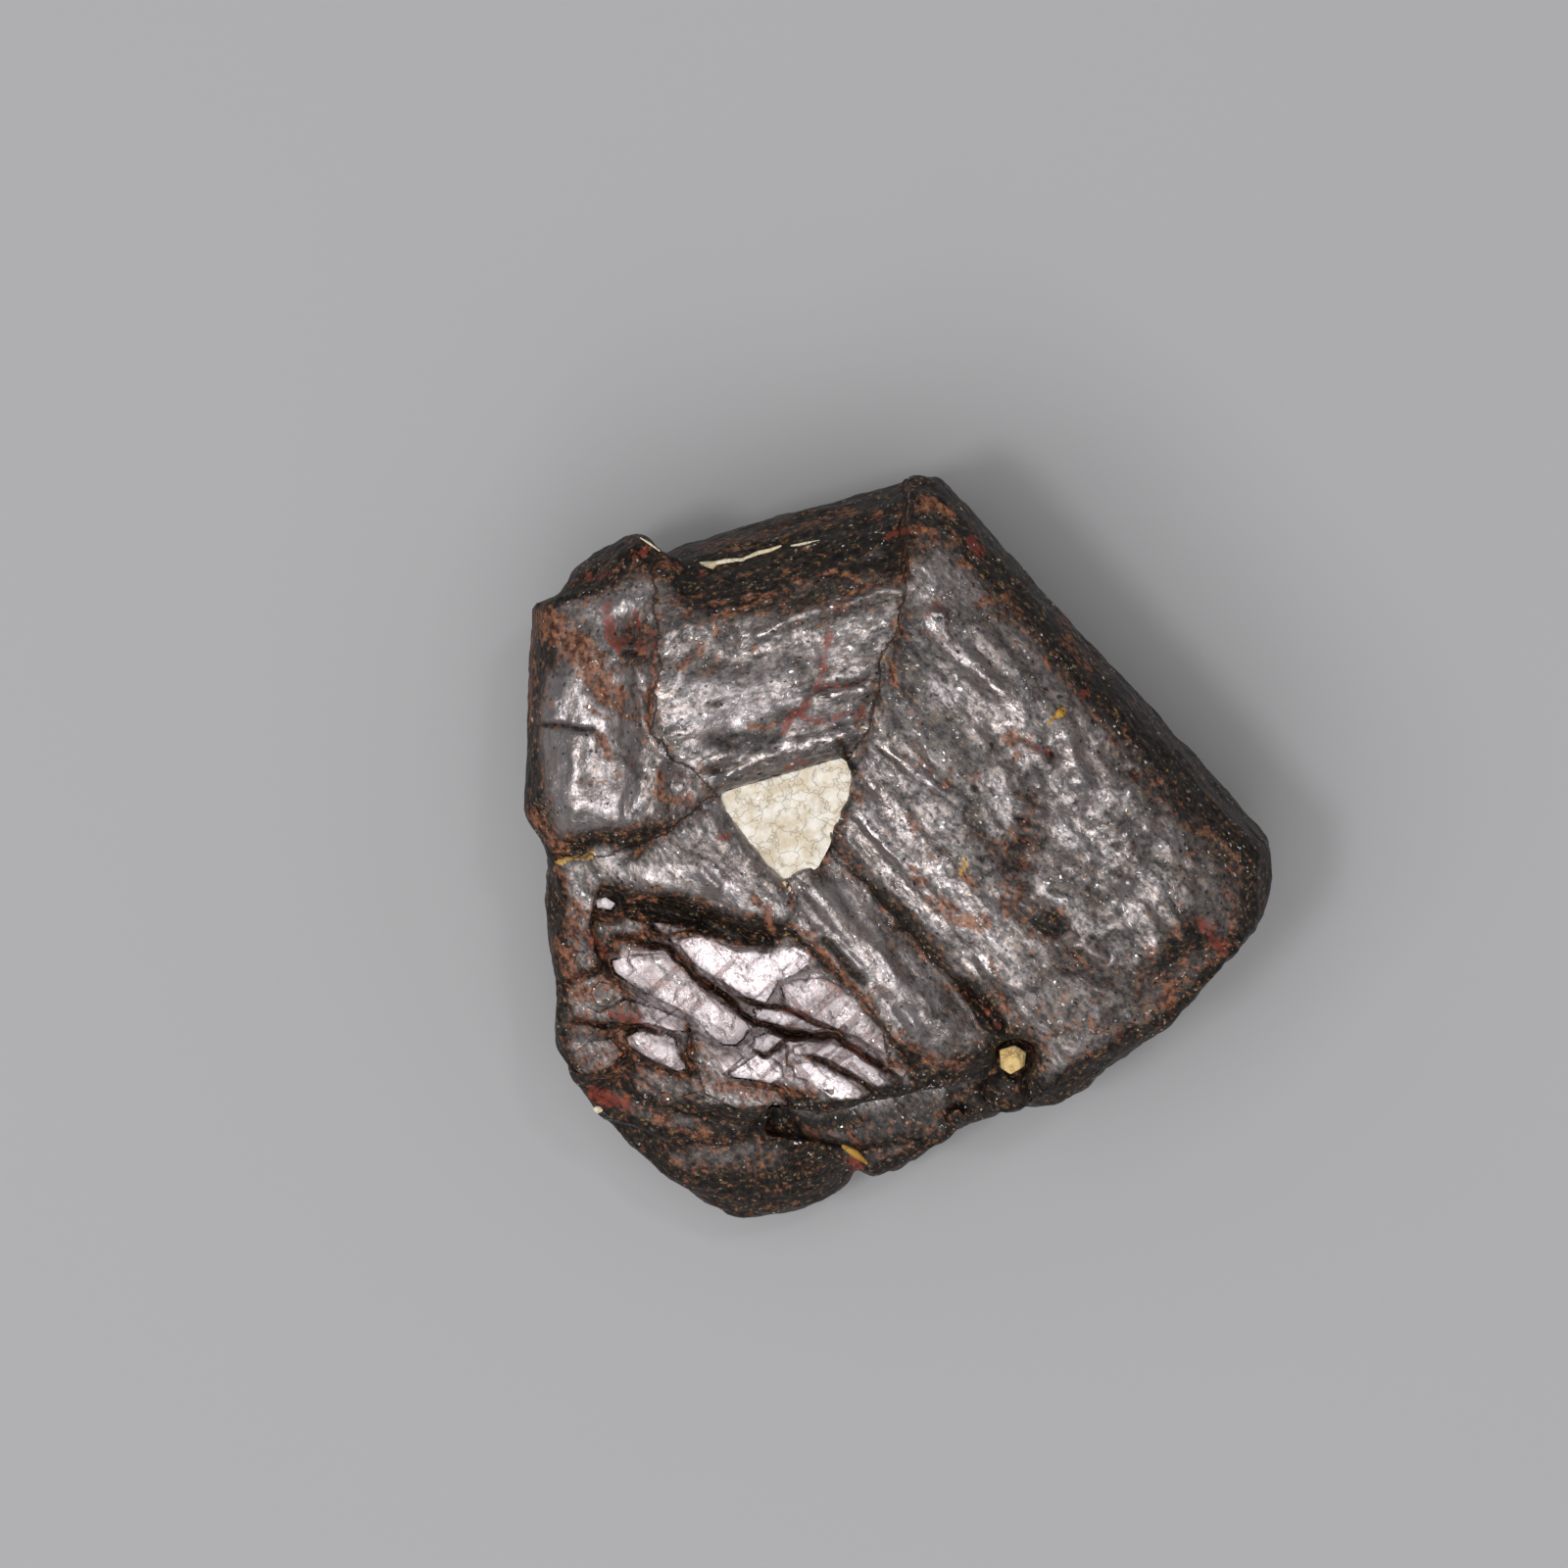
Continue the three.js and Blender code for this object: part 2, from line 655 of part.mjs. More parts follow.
// Seams, cracks and creases: [path, width, depth].
const GROOVES = [
  [[[0.1, 6.3], ...UPPER_SEAM.slice(1)], SEAM_WIDTH, SEAM_DEPTH],
  [[[-1.9, 0.3], ...LOWER_SEAM.slice(1, -1)], SEAM_WIDTH, SEAM_DEPTH],
  [[[1.9, -3.95], [2.55, -4.65], [3.1, -5.3], [3.3, -6.3]], 0.6, 0.9],
  [[[-4.7, 1.45], [-5.5, 0.8], [-6.2, 0.35], [-7.1, -0.05], [-8.0, -0.05], [-9.2, -0.2]], SEAM_WIDTH, SEAM_DEPTH],
  [[[-4.9, 2.05], [-4.1, 2.3], [-2.6, 2.75], [-1.0, 3.2]], 0.24, 0.22],
  [[[-0.6, 3.6], [0.4, 2.4], [1.2, 1.6], [2.0, 0.4], [2.3, -0.6]], 0.3, 0.2],
  [[[-0.4, 1.2], [0.6, 0.1], [1.6, -1.0], [2.3, -2.0]], 0.24, 0.16],
  [[[-6.7, -2.2], [-5.95, -2.4], [-5.45, -2.9], [-4.95, -3.4], [-4.3, -3.85], [-3.6, -4.3]], 0.3, 0.5],
  [[[-3.6, -4.3], [-2.9, -4.6], [-2.0, -4.75], [-1.1, -4.95], [-0.5, -5.5]], 0.3, 0.55],
  [[[-2.4, -5.3], [-1.7, -5.45], [-1.0, -6.0]], 0.2, 0.3],
  [[[-8.7, -4.4], [-7.3, -4.35], [-6.3, -4.55], [-5.4, -4.85]], 0.3, 0.4],
  [[[-7.1, -5.1], [-6.7, -5.8], [-6.1, -6.35]], 0.34, 0.5],
  [[[-9.5, 3.3], [-8.6, 3.3], [-7.9, 3.1]], 0.2, 0.18],
  [[[-7.3, 5.0], [-6.7, 5.05], [-6.3, 4.9]], 0.3, 0.3],
];

// Plan of the three-cornered hollow between the prisms.
const HOLLOW = [[-4.7, 1.5], [-3.5, -0.1], [-3.05, -0.75], [-2.8, -0.55], [-2.2, -0.25], [-1.95, 0.3], [-1.85, 0.7],
  [-1.4, 1.3], [-1.25, 1.95], [-1.45, 2.35]];

// The matrix grain in the open end of the lower seam: its plan, what it stands on and how high it is.
const GRAIN_OUTLINE = [[2.62, -5.1], [2.66, -5.5], [2.85, -5.62], [3.15, -5.45], [3.2, -5.15], [2.95, -5.0]];
const GRAIN_SEAT = 7.5;
const GRAIN_HEIGHT = 0.9;

/** An outline moved inwards by a margin, side by side, round its own middle. */
function insetOutline(outline, margin) {
  const points = outline.map(([x, y]) => new THREE.Vector2(x, y));
  const outward = points.map((point, i) => {
    const step = points[(i + 1) % points.length].clone().sub(point).normalize();
    return new THREE.Vector2(step.y, -step.x);
  });
  return points.map((point, i) => {
    const before = outward[(i + points.length - 1) % points.length];
    const bisector = before.clone().add(outward[i]).normalize();
    const stretch = Math.max(bisector.dot(outward[i]), 0.35);
    return point.clone().addScaledVector(bisector, -margin / stretch).toArray();
  });
}

/** The crystal, with every prism and slab fused into one body. */
function twinnedCrystal() {
  let body = union([
    core(),
    rightPrism(),
    topPrism(),
    leftPrism(),
    cornerKnob(),
    lowerLeftBlock(),
    lowerPrism(),
    brokenZone(),
    lowerShelf(),
  ]);
  body = body.intersect(column([[-12, -12], [12, -12], [12, 12], [-12, 12]], 0, REACH));
  const surface = surfaceOf(body);
  body = union([body.subtract(cave()), ...slabs(CHIPS)]);
  body = union([body, ...KNOTS.map(([place, radius]) => lump(place, surface, radius, radius * KNOT_RISE))]);
  body = union([body, ...RIBS.map(([path, width, height]) => wedgeRun(path, surface, width, height))]);
  PITS.forEach(([place, radius]) => {
    body = body.subtract(lump(place, surface, radius, radius * PIT_DEPTH));
  });
  GROOVES.forEach(([path, width, depth]) => {
    body = body.subtract(wedgeRun(path, surface, width, -depth));
  });
  body = faceted(body, BASE_FACES);
  body = body.subtract(column(HOLLOW, HOLLOW_FLOOR, REACH));
  return body.subtract(column(insetOutline(GRAIN_OUTLINE, -SEAT_GAP), GRAIN_SEAT, REACH));
}

/** The pale matrix that plugs the hollow, resting on its floor. */
function matrixPlug() {
  const plug = column(insetOutline(HOLLOW, SEAT_GAP), HOLLOW_FLOOR, REACH);
  return faceted(plug, [[[-2.8, 1.2, PLUG_TOP], -70, 6]]);
}

/** The straw-coloured matrix grain that is caught in the open end of the lower seam. */
function matrixGrain() {
  return faceted(column(GRAIN_OUTLINE, GRAIN_SEAT, GRAIN_SEAT + GRAIN_HEIGHT), [
    [[2.9, -5.3, GRAIN_SEAT + 0.95 * GRAIN_HEIGHT], -60, 16],
    [[3.05, -5.3, GRAIN_SEAT + 0.85 * GRAIN_HEIGHT], 10, 48],
    [[2.75, -5.3, GRAIN_SEAT + 0.85 * GRAIN_HEIGHT], 190, 42],
    [[2.9, -5.15, GRAIN_SEAT + 0.9 * GRAIN_HEIGHT], 100, 40],
  ]);
}

// ---- The scene graph ----

const rutileFinish = new THREE.MeshStandardMaterial({ color: 0x2a2220, roughness: 0.42, metalness: 0.35 });
const matrixFinish = new THREE.MeshStandardMaterial({ color: 0xd9ccab, roughness: 0.9, metalness: 0 });
const grainFinish = new THREE.MeshStandardMaterial({ color: 0xcda960, roughness: 0.8, metalness: 0 });

function named(name, geometry, material) {
  const mesh = new THREE.Mesh(geometry, material);
  mesh.name = name;
  return mesh;
}

const specimen = new THREE.Group();
specimen.add(named("twinned_crystal", geometryOf(twinnedCrystal()), rutileFinish));
specimen.add(named("matrix_plug", geometryOf(matrixPlug()), matrixFinish));
specimen.add(named("matrix_grain", geometryOf(matrixGrain()), grainFinish));

export default specimen;
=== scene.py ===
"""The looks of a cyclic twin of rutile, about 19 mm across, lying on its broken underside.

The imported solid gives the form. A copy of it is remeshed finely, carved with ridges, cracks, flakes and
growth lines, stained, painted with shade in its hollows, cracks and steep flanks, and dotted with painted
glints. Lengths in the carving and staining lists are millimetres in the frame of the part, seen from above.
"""

import logging
import math
from dataclasses import dataclass, field
from enum import Enum

import bmesh
import bpy
import numpy as np
from mathutils import Matrix, Vector
from mathutils.bvhtree import BVHTree


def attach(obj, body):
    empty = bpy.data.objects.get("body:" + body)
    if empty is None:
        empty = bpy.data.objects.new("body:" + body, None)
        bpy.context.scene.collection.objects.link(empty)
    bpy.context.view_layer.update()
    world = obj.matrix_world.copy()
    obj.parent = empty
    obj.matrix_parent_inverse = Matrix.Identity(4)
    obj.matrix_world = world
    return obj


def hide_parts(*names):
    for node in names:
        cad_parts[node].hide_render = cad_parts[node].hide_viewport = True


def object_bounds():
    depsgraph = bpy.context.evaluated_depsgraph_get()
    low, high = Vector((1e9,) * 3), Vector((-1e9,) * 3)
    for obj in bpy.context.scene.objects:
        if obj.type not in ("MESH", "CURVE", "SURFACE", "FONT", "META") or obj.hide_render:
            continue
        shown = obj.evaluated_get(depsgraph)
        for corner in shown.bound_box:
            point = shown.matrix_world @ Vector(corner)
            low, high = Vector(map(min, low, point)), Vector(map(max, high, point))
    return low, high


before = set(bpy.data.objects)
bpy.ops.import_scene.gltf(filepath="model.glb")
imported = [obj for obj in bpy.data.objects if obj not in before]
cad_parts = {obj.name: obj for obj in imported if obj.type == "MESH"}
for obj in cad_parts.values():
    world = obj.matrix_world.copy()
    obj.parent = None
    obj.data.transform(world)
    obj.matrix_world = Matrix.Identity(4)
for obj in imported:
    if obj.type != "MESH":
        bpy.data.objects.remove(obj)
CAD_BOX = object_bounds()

log = logging.getLogger("rutile")

MM = 0.001
BODY = "root"

Point = tuple[float, float]
Path = tuple[Point, ...]
Triple = tuple[float, float, float]
Colour = Triple
Socket = bpy.types.NodeSocket


# ---- Carving tools ----

TINY = 1e-12
CLOUD_LAYERS = 3
CLOUD_FADE = 0.55

# How far paths stray, and the scale and seed of the waves that they stray along
STROKE_WAVES = (1.6, 3.0)
STAIN_WAVES = (1.9, 5.0)
STAIN_WANDER = 0.08
LIMB_WAVES = (1.3, 7.0)
LIMB_WANDER = 0.12


class Profile(Enum):
    """How a stroke's height fades from its path to its edge."""

    ROUND = "round"
    SHARP = "sharp"


@dataclass(frozen=True)
class Stroke:
    """A ridge, or with a negative rise a groove, that runs along a path over the upper side.

    A taper fades both ends of the path, and wander is how far the path strays sideways.
    """

    path: Path
    width: float
    rise: float
    profile: Profile = Profile.ROUND
    taper: float = 0.3
    wander: float = 0.05


@dataclass(frozen=True)
class Knot:
    """A low boss, or with a negative rise a pit, stretched along a heading."""

    place: Point
    radius: float
    rise: float
    stretch: float = 1.0
    heading: float = 0.0


@dataclass(frozen=True)
class Flake:
    """A flat cleavage face inside an outline: its height at the middle, and the heading it falls towards.

    Rubble banks up against its sides, and gloss says how freshly it is broken.
    """

    outline: Path
    height: float
    heading: float
    tilt: float
    gloss: float = 1.0


class Tint(Enum):
    """What a stain is made of, or where shade is painted; each has its own mesh attribute."""

    RUST = "rust"
    RED = "red"
    OCHRE = "ochre"
    HAZE = "haze"
    # Painted shade: black, with no lustre, laid in hollows, seams and cracks and on steep flanks
    SHADE = "painted_shade"


@dataclass(frozen=True)
class Stain:
    """Colour laid along a path, or round a single place: its strength fades out over the width."""

    path: Path
    width: float
    strength: float = 1.0


@dataclass(frozen=True)
class Patch:
    """A zone of the plan, and how strongly it is marked."""

    outline: Path
    strength: float


@dataclass(frozen=True)
class Limb:
    """One crystal of the twin: the heading of its long axis, which growth lines follow, and its outline."""

    heading: float
    outline: Path


class Texture(Enum):
    """The pattern of a relief."""

    CLOUD = "cloud"
    STRIAE = "striae"
    PEBBLES = "pebbles"
    CHIPS = "chips"


@dataclass(frozen=True)
class Relief:
    """A patterned relief over one zone of the surface, or over all of it when no zone is given."""

    texture: Texture
    scale: float
    height: float
    seed: int
    zone: Path = ()
    soft: float = 0.6


def smooth_ramp(values: np.ndarray) -> np.ndarray:
    """Eases values from 0 to 1 and holds them there outside that range."""
    held = np.clip(values, 0.0, 1.0)
    return held * held * (3.0 - 2.0 * held)


def distance_to_path(points: np.ndarray, path: Path) -> tuple[np.ndarray, np.ndarray]:
    """Measures plan points against a polyline.

    Args:
        points: An array of plan points, one row each.
        path: The corners of the polyline.

    Returns:
        Each point's distance, and how far along the path its foot lies.
    """
    corners = np.array(path, dtype=float)
    along = np.zeros(len(points))
    if len(path) == 1:
        return np.hypot(*(points - corners[0]).T), along
    nearest = np.full(len(points), np.inf)
    travelled = 0.0
    for start, end in zip(corners[:-1], corners[1:]):
        step = end - start
        length = float(np.hypot(*step))
        offset = points - start
        share = np.clip(offset @ step / length**2, 0.0, 1.0)
        gap = np.hypot(*(offset - share[:, None] * step).T)
        closer = gap < nearest
        nearest[closer] = gap[closer]
        along[closer] = travelled + share[closer] * length
        travelled += length
    return nearest, along


def path_length(path: Path) -> float:
    """Length of a polyline."""
    return sum(math.dist(start, end) for start, end in zip(path[:-1], path[1:]))


def inside_outline(points: np.ndarray, outline: Path) -> np.ndarray:
    """Says which plan points lie inside a closed outline.

    Args:
        points: An array of plan points, one row each.
        outline: The corners of the outline.

    Returns:
        An array of booleans.
    """
    inside = np.zeros(len(points), dtype=bool)
    x, y = points[:, 0], points[:, 1]
    for (x0, y0), (x1, y1) in zip(outline, outline[1:] + outline[:1]):
        crosses = (y0 > y) != (y1 > y)
        level = (y - y0) / ((y1 - y0) or TINY)
        inside ^= crosses & (x < x0 + level * (x1 - x0))
    return inside


def heading_vector(heading: float) -> np.ndarray:
    """Unit plan vector along a heading in degrees, anticlockwise from +X."""
    return np.array([math.cos(math.radians(heading)), math.sin(math.radians(heading))])


def drifted(points: np.ndarray, reach: float, scale: float, seed: float) -> np.ndarray:
    """Shifts plan points sideways along smooth waves, so that what is laid on them doesn't run straight.

    Args:
        points: Plan points, one row each.
        reach: How far a whole wave shifts them.
        scale: Waves per millimetre.
        seed: An offset that picks another pattern.

    Returns:
        The shifted points.
    """
    x, y = points[:, 0] * scale, points[:, 1] * scale
    first = np.sin(2.1 * x + 1.3 * y + seed) * 0.6 + np.sin(4.7 * y - 3.1 * x + 2.0 * seed) * 0.4
    second = np.sin(1.7 * y - 2.3 * x + 1.5 * seed) * 0.6 + np.sin(5.1 * x + 2.9 * y + seed) * 0.4
    return points + np.stack([first, second], axis=1) * reach


def lattice(cells: np.ndarray, seed: int) -> np.ndarray:
    """Gives every whole-numbered cell of space its own random value.

    Args:
        cells: Whole numbers, one row of three for each cell.
        seed: Picks another set of values.

    Returns:
        Values of 0 to 1.
    """
    mixed = cells[:, 0] * 73856093 ^ cells[:, 1] * 19349663 ^ cells[:, 2] * 83492791 ^ seed * 49979687
    mixed = (mixed ^ (mixed >> 13)) * 1274126177 & 0x7FFFFFFF
    mixed = (mixed ^ (mixed >> 15)) * 668265263 & 0x7FFFFFFF
    return (mixed ^ (mixed >> 16)) % 65536 / 65535.0


def cloud(points: np.ndarray, scale: float, seed: int) -> np.ndarray:
    """Samples smooth, cloudy noise, in layers that are each twice as fine and a little weaker than the last.

    Args:
        points: Points in space, one row each.
        scale: Features per millimetre.
        seed: Picks another pattern.

    Returns:
        Values of about -1 to 1.
    """
    total = np.zeros(len(points))
    weight = 1.0
    for layer in range(CLOUD_LAYERS):
        spot = points * scale * 2.0**layer
        base = np.floor(spot).astype(np.int64)
        share = smooth_ramp(spot - base)
        value = np.zeros(len(points))
        for corner in np.ndindex(2, 2, 2):
            pull = np.prod(np.where(np.array(corner) == 1, share, 1.0 - share), axis=1)
            value += pull * lattice(base + np.array(corner), seed + 31 * layer)
        total += weight * (2.0 * value - 1.0)
        weight *= CLOUD_FADE
    return total


def pebbles(points: np.ndarray, scale: float, seed: int) -> np.ndarray:
    """Measures how near points lie to the scattered middles of close-packed pebbles.

    Args:
        points: Points in space, one row each.
        scale: Pebbles per millimetre.
        seed: Picks another scatter.

    Returns:
        1 at a pebble's middle, falling to 0 between pebbles.
    """
    spot = points * scale
    base = np.floor(spot).astype(np.int64)
    nearest = np.full(len(points), np.inf)
    for corner in np.ndindex(3, 3, 3):
        cell = base + np.array(corner) - 1
        middle = cell + np.stack([lattice(cell, seed + turn) for turn in (1, 2, 3)], axis=1)
        nearest = np.minimum(nearest, np.linalg.norm(middle - spot, axis=1))
    return np.clip(1.0 - nearest, 0.0, 1.0)


def chips(points: np.ndarray, scale: float, seed: int) -> np.ndarray:
    """Breaks a surface up, in plan, into flat chips that each tip their own way.

    Args:
        points: Points in space, one row each.
        scale: Chips per millimetre.
        seed: Picks another pattern.

    Returns:
        Heights of about -1 to 1, with a sharp break from one chip to the next.
    """
    spot = points * scale
    spot[:, 2] = 0.0
    base = np.floor(spot).astype(np.int64)
    nearest = np.full(len(points), np.inf)
    height = np.zeros(len(points))
    for corner in np.ndindex(3, 3):
        cell = base + np.array((corner[0] - 1, corner[1] - 1, 0))
        pulls = [lattice(cell, seed + turn) for turn in range(1, 6)]
        offset = spot[:, :2] - cell[:, :2] - np.stack(pulls[:2], axis=1)
        gap = np.hypot(*offset.T)
        closer = gap < nearest
        nearest[closer] = gap[closer]
        tipped = pulls[2] - 0.5 + (pulls[3] - 0.5) * offset[:, 0] + (pulls[4] - 0.5) * offset[:, 1]
        height[closer] = tipped[closer]
    return height


# ---- The crystal's own carving ----

FLAKES: tuple[Flake, ...] = (
    Flake(
        ((-7.4, -2.75), (-6.9, -2.62), (-5.95, -2.55), (-5.62, -2.86), (-5.22, -3.24), (-4.8, -3.62),
         (-4.36, -4.0), (-3.95, -4.25), (-3.8, -4.5), (-3.95, -4.75), (-4.17, -4.94), (-4.5, -4.94),
         (-4.83, -4.72), (-5.15, -4.34), (-5.7, -4.0), (-6.14, -3.79), (-6.58, -3.57), (-7.0, -3.3),
         (-7.3, -3.08)),
        8.5, -135, 9, 0.55,
    ),
    Flake(
        ((-5.92, -2.23), (-5.26, -2.12), (-4.55, -2.23), (-4.28, -2.37), (-3.29, -2.42), (-2.69, -2.37),
         (-2.25, -2.64), (-2.31, -2.86), (-2.64, -3.13), (-3.08, -3.3), (-3.25, -3.62), (-3.4, -3.88),
         (-3.95, -3.71), (-4.45, -3.38), (-4.88, -3.12), (-5.3, -2.82), (-5.6, -2.45)),
        8.74, -125, 7,
    ),
    Flake(
        ((-3.05, -3.4), (-2.64, -3.22), (-1.93, -3.17), (-1.5, -3.4), (-1.16, -3.79), (-0.78, -4.17),
         (-0.4, -4.6), (-0.3, -5.2), (-0.7, -5.0), (-1.1, -4.72), (-1.87, -4.5), (-2.4, -4.15),
         (-2.9, -3.9)),
        8.72, -95, 8, 0.3,
    ),
    Flake(
        ((-3.75, -4.0), (-3.4, -3.95), (-3.0, -4.08), (-2.45, -4.22), (-2.42, -4.36), (-3.15, -4.42),
         (-3.66, -4.3)),
        8.62, -110, 6,
    ),
    Flake(
        ((-3.72, -4.72), (-3.35, -4.6), (-2.95, -4.72), (-2.95, -4.96), (-3.4, -5.16), (-3.7, -5.05)),
        8.36, -80, 10, 0.8,
    ),
    Flake(
        ((-4.39, -5.65), (-3.95, -5.37), (-3.66, -5.15), (-3.3, -5.2), (-3.0, -5.43), (-2.94, -5.8),
         (-3.3, -5.95), (-3.73, -5.85), (-4.28, -5.78)),
        8.2, -125, 9,
    ),
    Flake(
        ((-2.75, -4.95), (-2.3, -4.86), (-1.54, -4.92), (-1.08, -5.13), (-0.64, -5.5), (-0.3, -5.9),
         (-0.55, -6.0), (-1.0, -5.76), (-1.43, -5.5), (-1.87, -5.28), (-2.35, -5.2), (-2.7, -5.2)),
        8.45, -105, 8, 0.9,
    ),
    Flake(
        ((-2.8, -5.4), (-2.3, -5.34), (-1.87, -5.48), (-1.32, -5.8), (-0.9, -6.14), (-1.0, -6.32),
         (-1.65, -6.34), (-1.96, -6.18), (-2.2, -5.92), (-2.68, -5.76)),
        8.25, -115, 9,
    ),
    Flake(
        ((-7.0, -4.72), (-6.63, -4.52), (-6.03, -4.58), (-5.72, -4.77), (-5.66, -5.15), (-5.38, -5.56),
         (-5.7, -5.62), (-6.25, -5.37), (-6.68, -5.15), (-6.95, -4.94)),
        8.02, -140, 10, 0.75,
    ),
    Flake(
        ((-8.36, -5.15), (-8.0, -4.86), (-7.4, -4.75), (-7.02, -5.16), (-7.45, -5.56), (-8.1, -5.78),
         (-8.4, -5.56)),
        7.72, -118, 20, 0.0,
    ),
    Flake(
        ((-6.84, -5.34), (-6.25, -5.54), (-5.48, -5.7), (-5.1, -5.8), (-5.12, -6.16), (-5.7, -6.32),
         (-6.25, -6.14), (-6.66, -5.76)),
        7.55, -120, 24, 0.0,
    ),
    Flake(
        ((-7.7, -4.1), (-7.0, -3.75), (-6.3, -3.95), (-5.6, -4.22), (-5.3, -4.6), (-5.8, -4.6),
         (-6.5, -4.4), (-7.3, -4.5), (-8.3, -4.4), (-8.5, -3.7)),
        7.98, -125, 20, 0.0,
    ),
    Flake(
        ((-5.3, -4.75), (-4.8, -4.9), (-4.1, -5.1), (-3.95, -5.25), (-4.5, -5.7), (-4.0, -5.95),
         (-3.1, -6.1), (-2.8, -6.5), (-4.2, -6.6), (-5.0, -6.2), (-5.2, -5.5)),
        7.95, -120, 14, 0.0,
    ),
    Flake(
        ((-6.35, -1.75), (-5.9, -1.8), (-5.35, -1.98), (-5.9, -2.12), (-6.3, -2.0)),
        8.46, -110, 12, 0.6,
    ),
    Flake(((-7.8, -1.2), (-7.5, -1.1), (-7.2, -1.3), (-7.35, -1.5), (-7.75, -1.45)), 8.75, -120, 9, 0.9),
)

CRACKS: tuple[Stroke, ...] = (
    Stroke(
        ((-6.47, -2.37), (-5.92, -2.39), (-5.65, -2.75), (-5.2, -3.13), (-4.83, -3.46), (-4.5, -3.68),
         (-4.06, -4.06), (-3.73, -4.34), (-3.18, -4.5), (-2.64, -4.72), (-2.15, -4.72), (-1.65, -4.72),
         (-1.1, -4.99), (-0.67, -5.37), (-0.3, -5.6)),
        0.11, -0.4, Profile.SHARP,
    ),
    Stroke(((-4.95, -3.4), (-4.6, -3.62), (-4.3, -3.85)), 0.2, -0.2, Profile.SHARP),
    Stroke(((-3.3, -4.52), (-2.9, -4.6), (-2.2, -4.7), (-1.8, -4.72)), 0.17, -0.45, Profile.SHARP),
    Stroke(
        ((-4.0, -3.75), (-3.4, -3.92), (-2.95, -4.02), (-2.4, -4.2), (-1.87, -4.48), (-1.35, -4.72)),
        0.08, -0.25, Profile.SHARP,
    ),
    Stroke(
        ((-2.35, -5.26), (-1.87, -5.37), (-1.43, -5.59), (-1.0, -5.9), (-0.56, -6.1)),
        0.1, -0.3, Profile.SHARP,
    ),
    Stroke(((-8.5, -4.35), (-7.6, -4.4), (-6.7, -4.5), (-6.1, -4.62)), 0.09, -0.2, Profile.SHARP),
    Stroke(((-5.42, -4.45), (-5.36, -4.8), (-5.4, -5.2)), 0.14, -0.3, Profile.SHARP),
    Stroke(((-3.75, -5.12), (-3.45, -5.2), (-3.1, -5.0), (-2.85, -4.75)), 0.09, -0.25, Profile.SHARP),
    Stroke(((-6.95, -1.55), (-6.4, -1.85), (-6.05, -2.15)), 0.08, -0.15, Profile.SHARP),
    Stroke(((-9.55, 3.2), (-9.0, 3.3), (-8.45, 3.22), (-7.75, 3.07)), 0.12, -0.14, Profile.SHARP),
    Stroke(((-4.87, 3.77), (-4.6, 3.82), (-4.3, 3.88)), 0.1, -0.08, Profile.SHARP),
    Stroke(
        ((-2.36, 3.88), (-2.05, 4.08), (-1.53, 4.26), (-0.97, 4.34), (-0.6, 4.6)),
        0.12, -0.08, Profile.SHARP,
    ),
    Stroke(((-4.94, 2.07), (-4.4, 2.16), (-3.9, 2.3)), 0.12, -0.1, Profile.SHARP),
    Stroke(((-1.74, 3.0), (-1.45, 3.12), (-1.2, 3.26)), 0.1, -0.1, Profile.SHARP),
    Stroke(((0.33, 2.96), (0.5, 2.4), (0.9, 1.9), (1.3, 1.5), (2.0, 1.0)), 0.24, -0.07),
    Stroke(((1.5, -3.3), (1.94, -3.74), (2.36, -4.15), (2.7, -4.6)), 0.2, -0.35, Profile.SHARP),
    Stroke(
        ((-6.7, -1.35), (-5.9, -1.5), (-5.2, -1.7), (-4.5, -1.98), (-3.9, -2.2), (-3.2, -2.25)),
        0.4, -0.5,
    ),
    Stroke(((-1.98, -2.2), (-1.65, -2.5), (-1.3, -2.97), (-0.94, -3.24)), 0.14, -0.14, Profile.SHARP),
    Stroke(((-4.88, -0.07), (-4.6, -0.4), (-4.28, -0.84)), 0.1, -0.06),
)

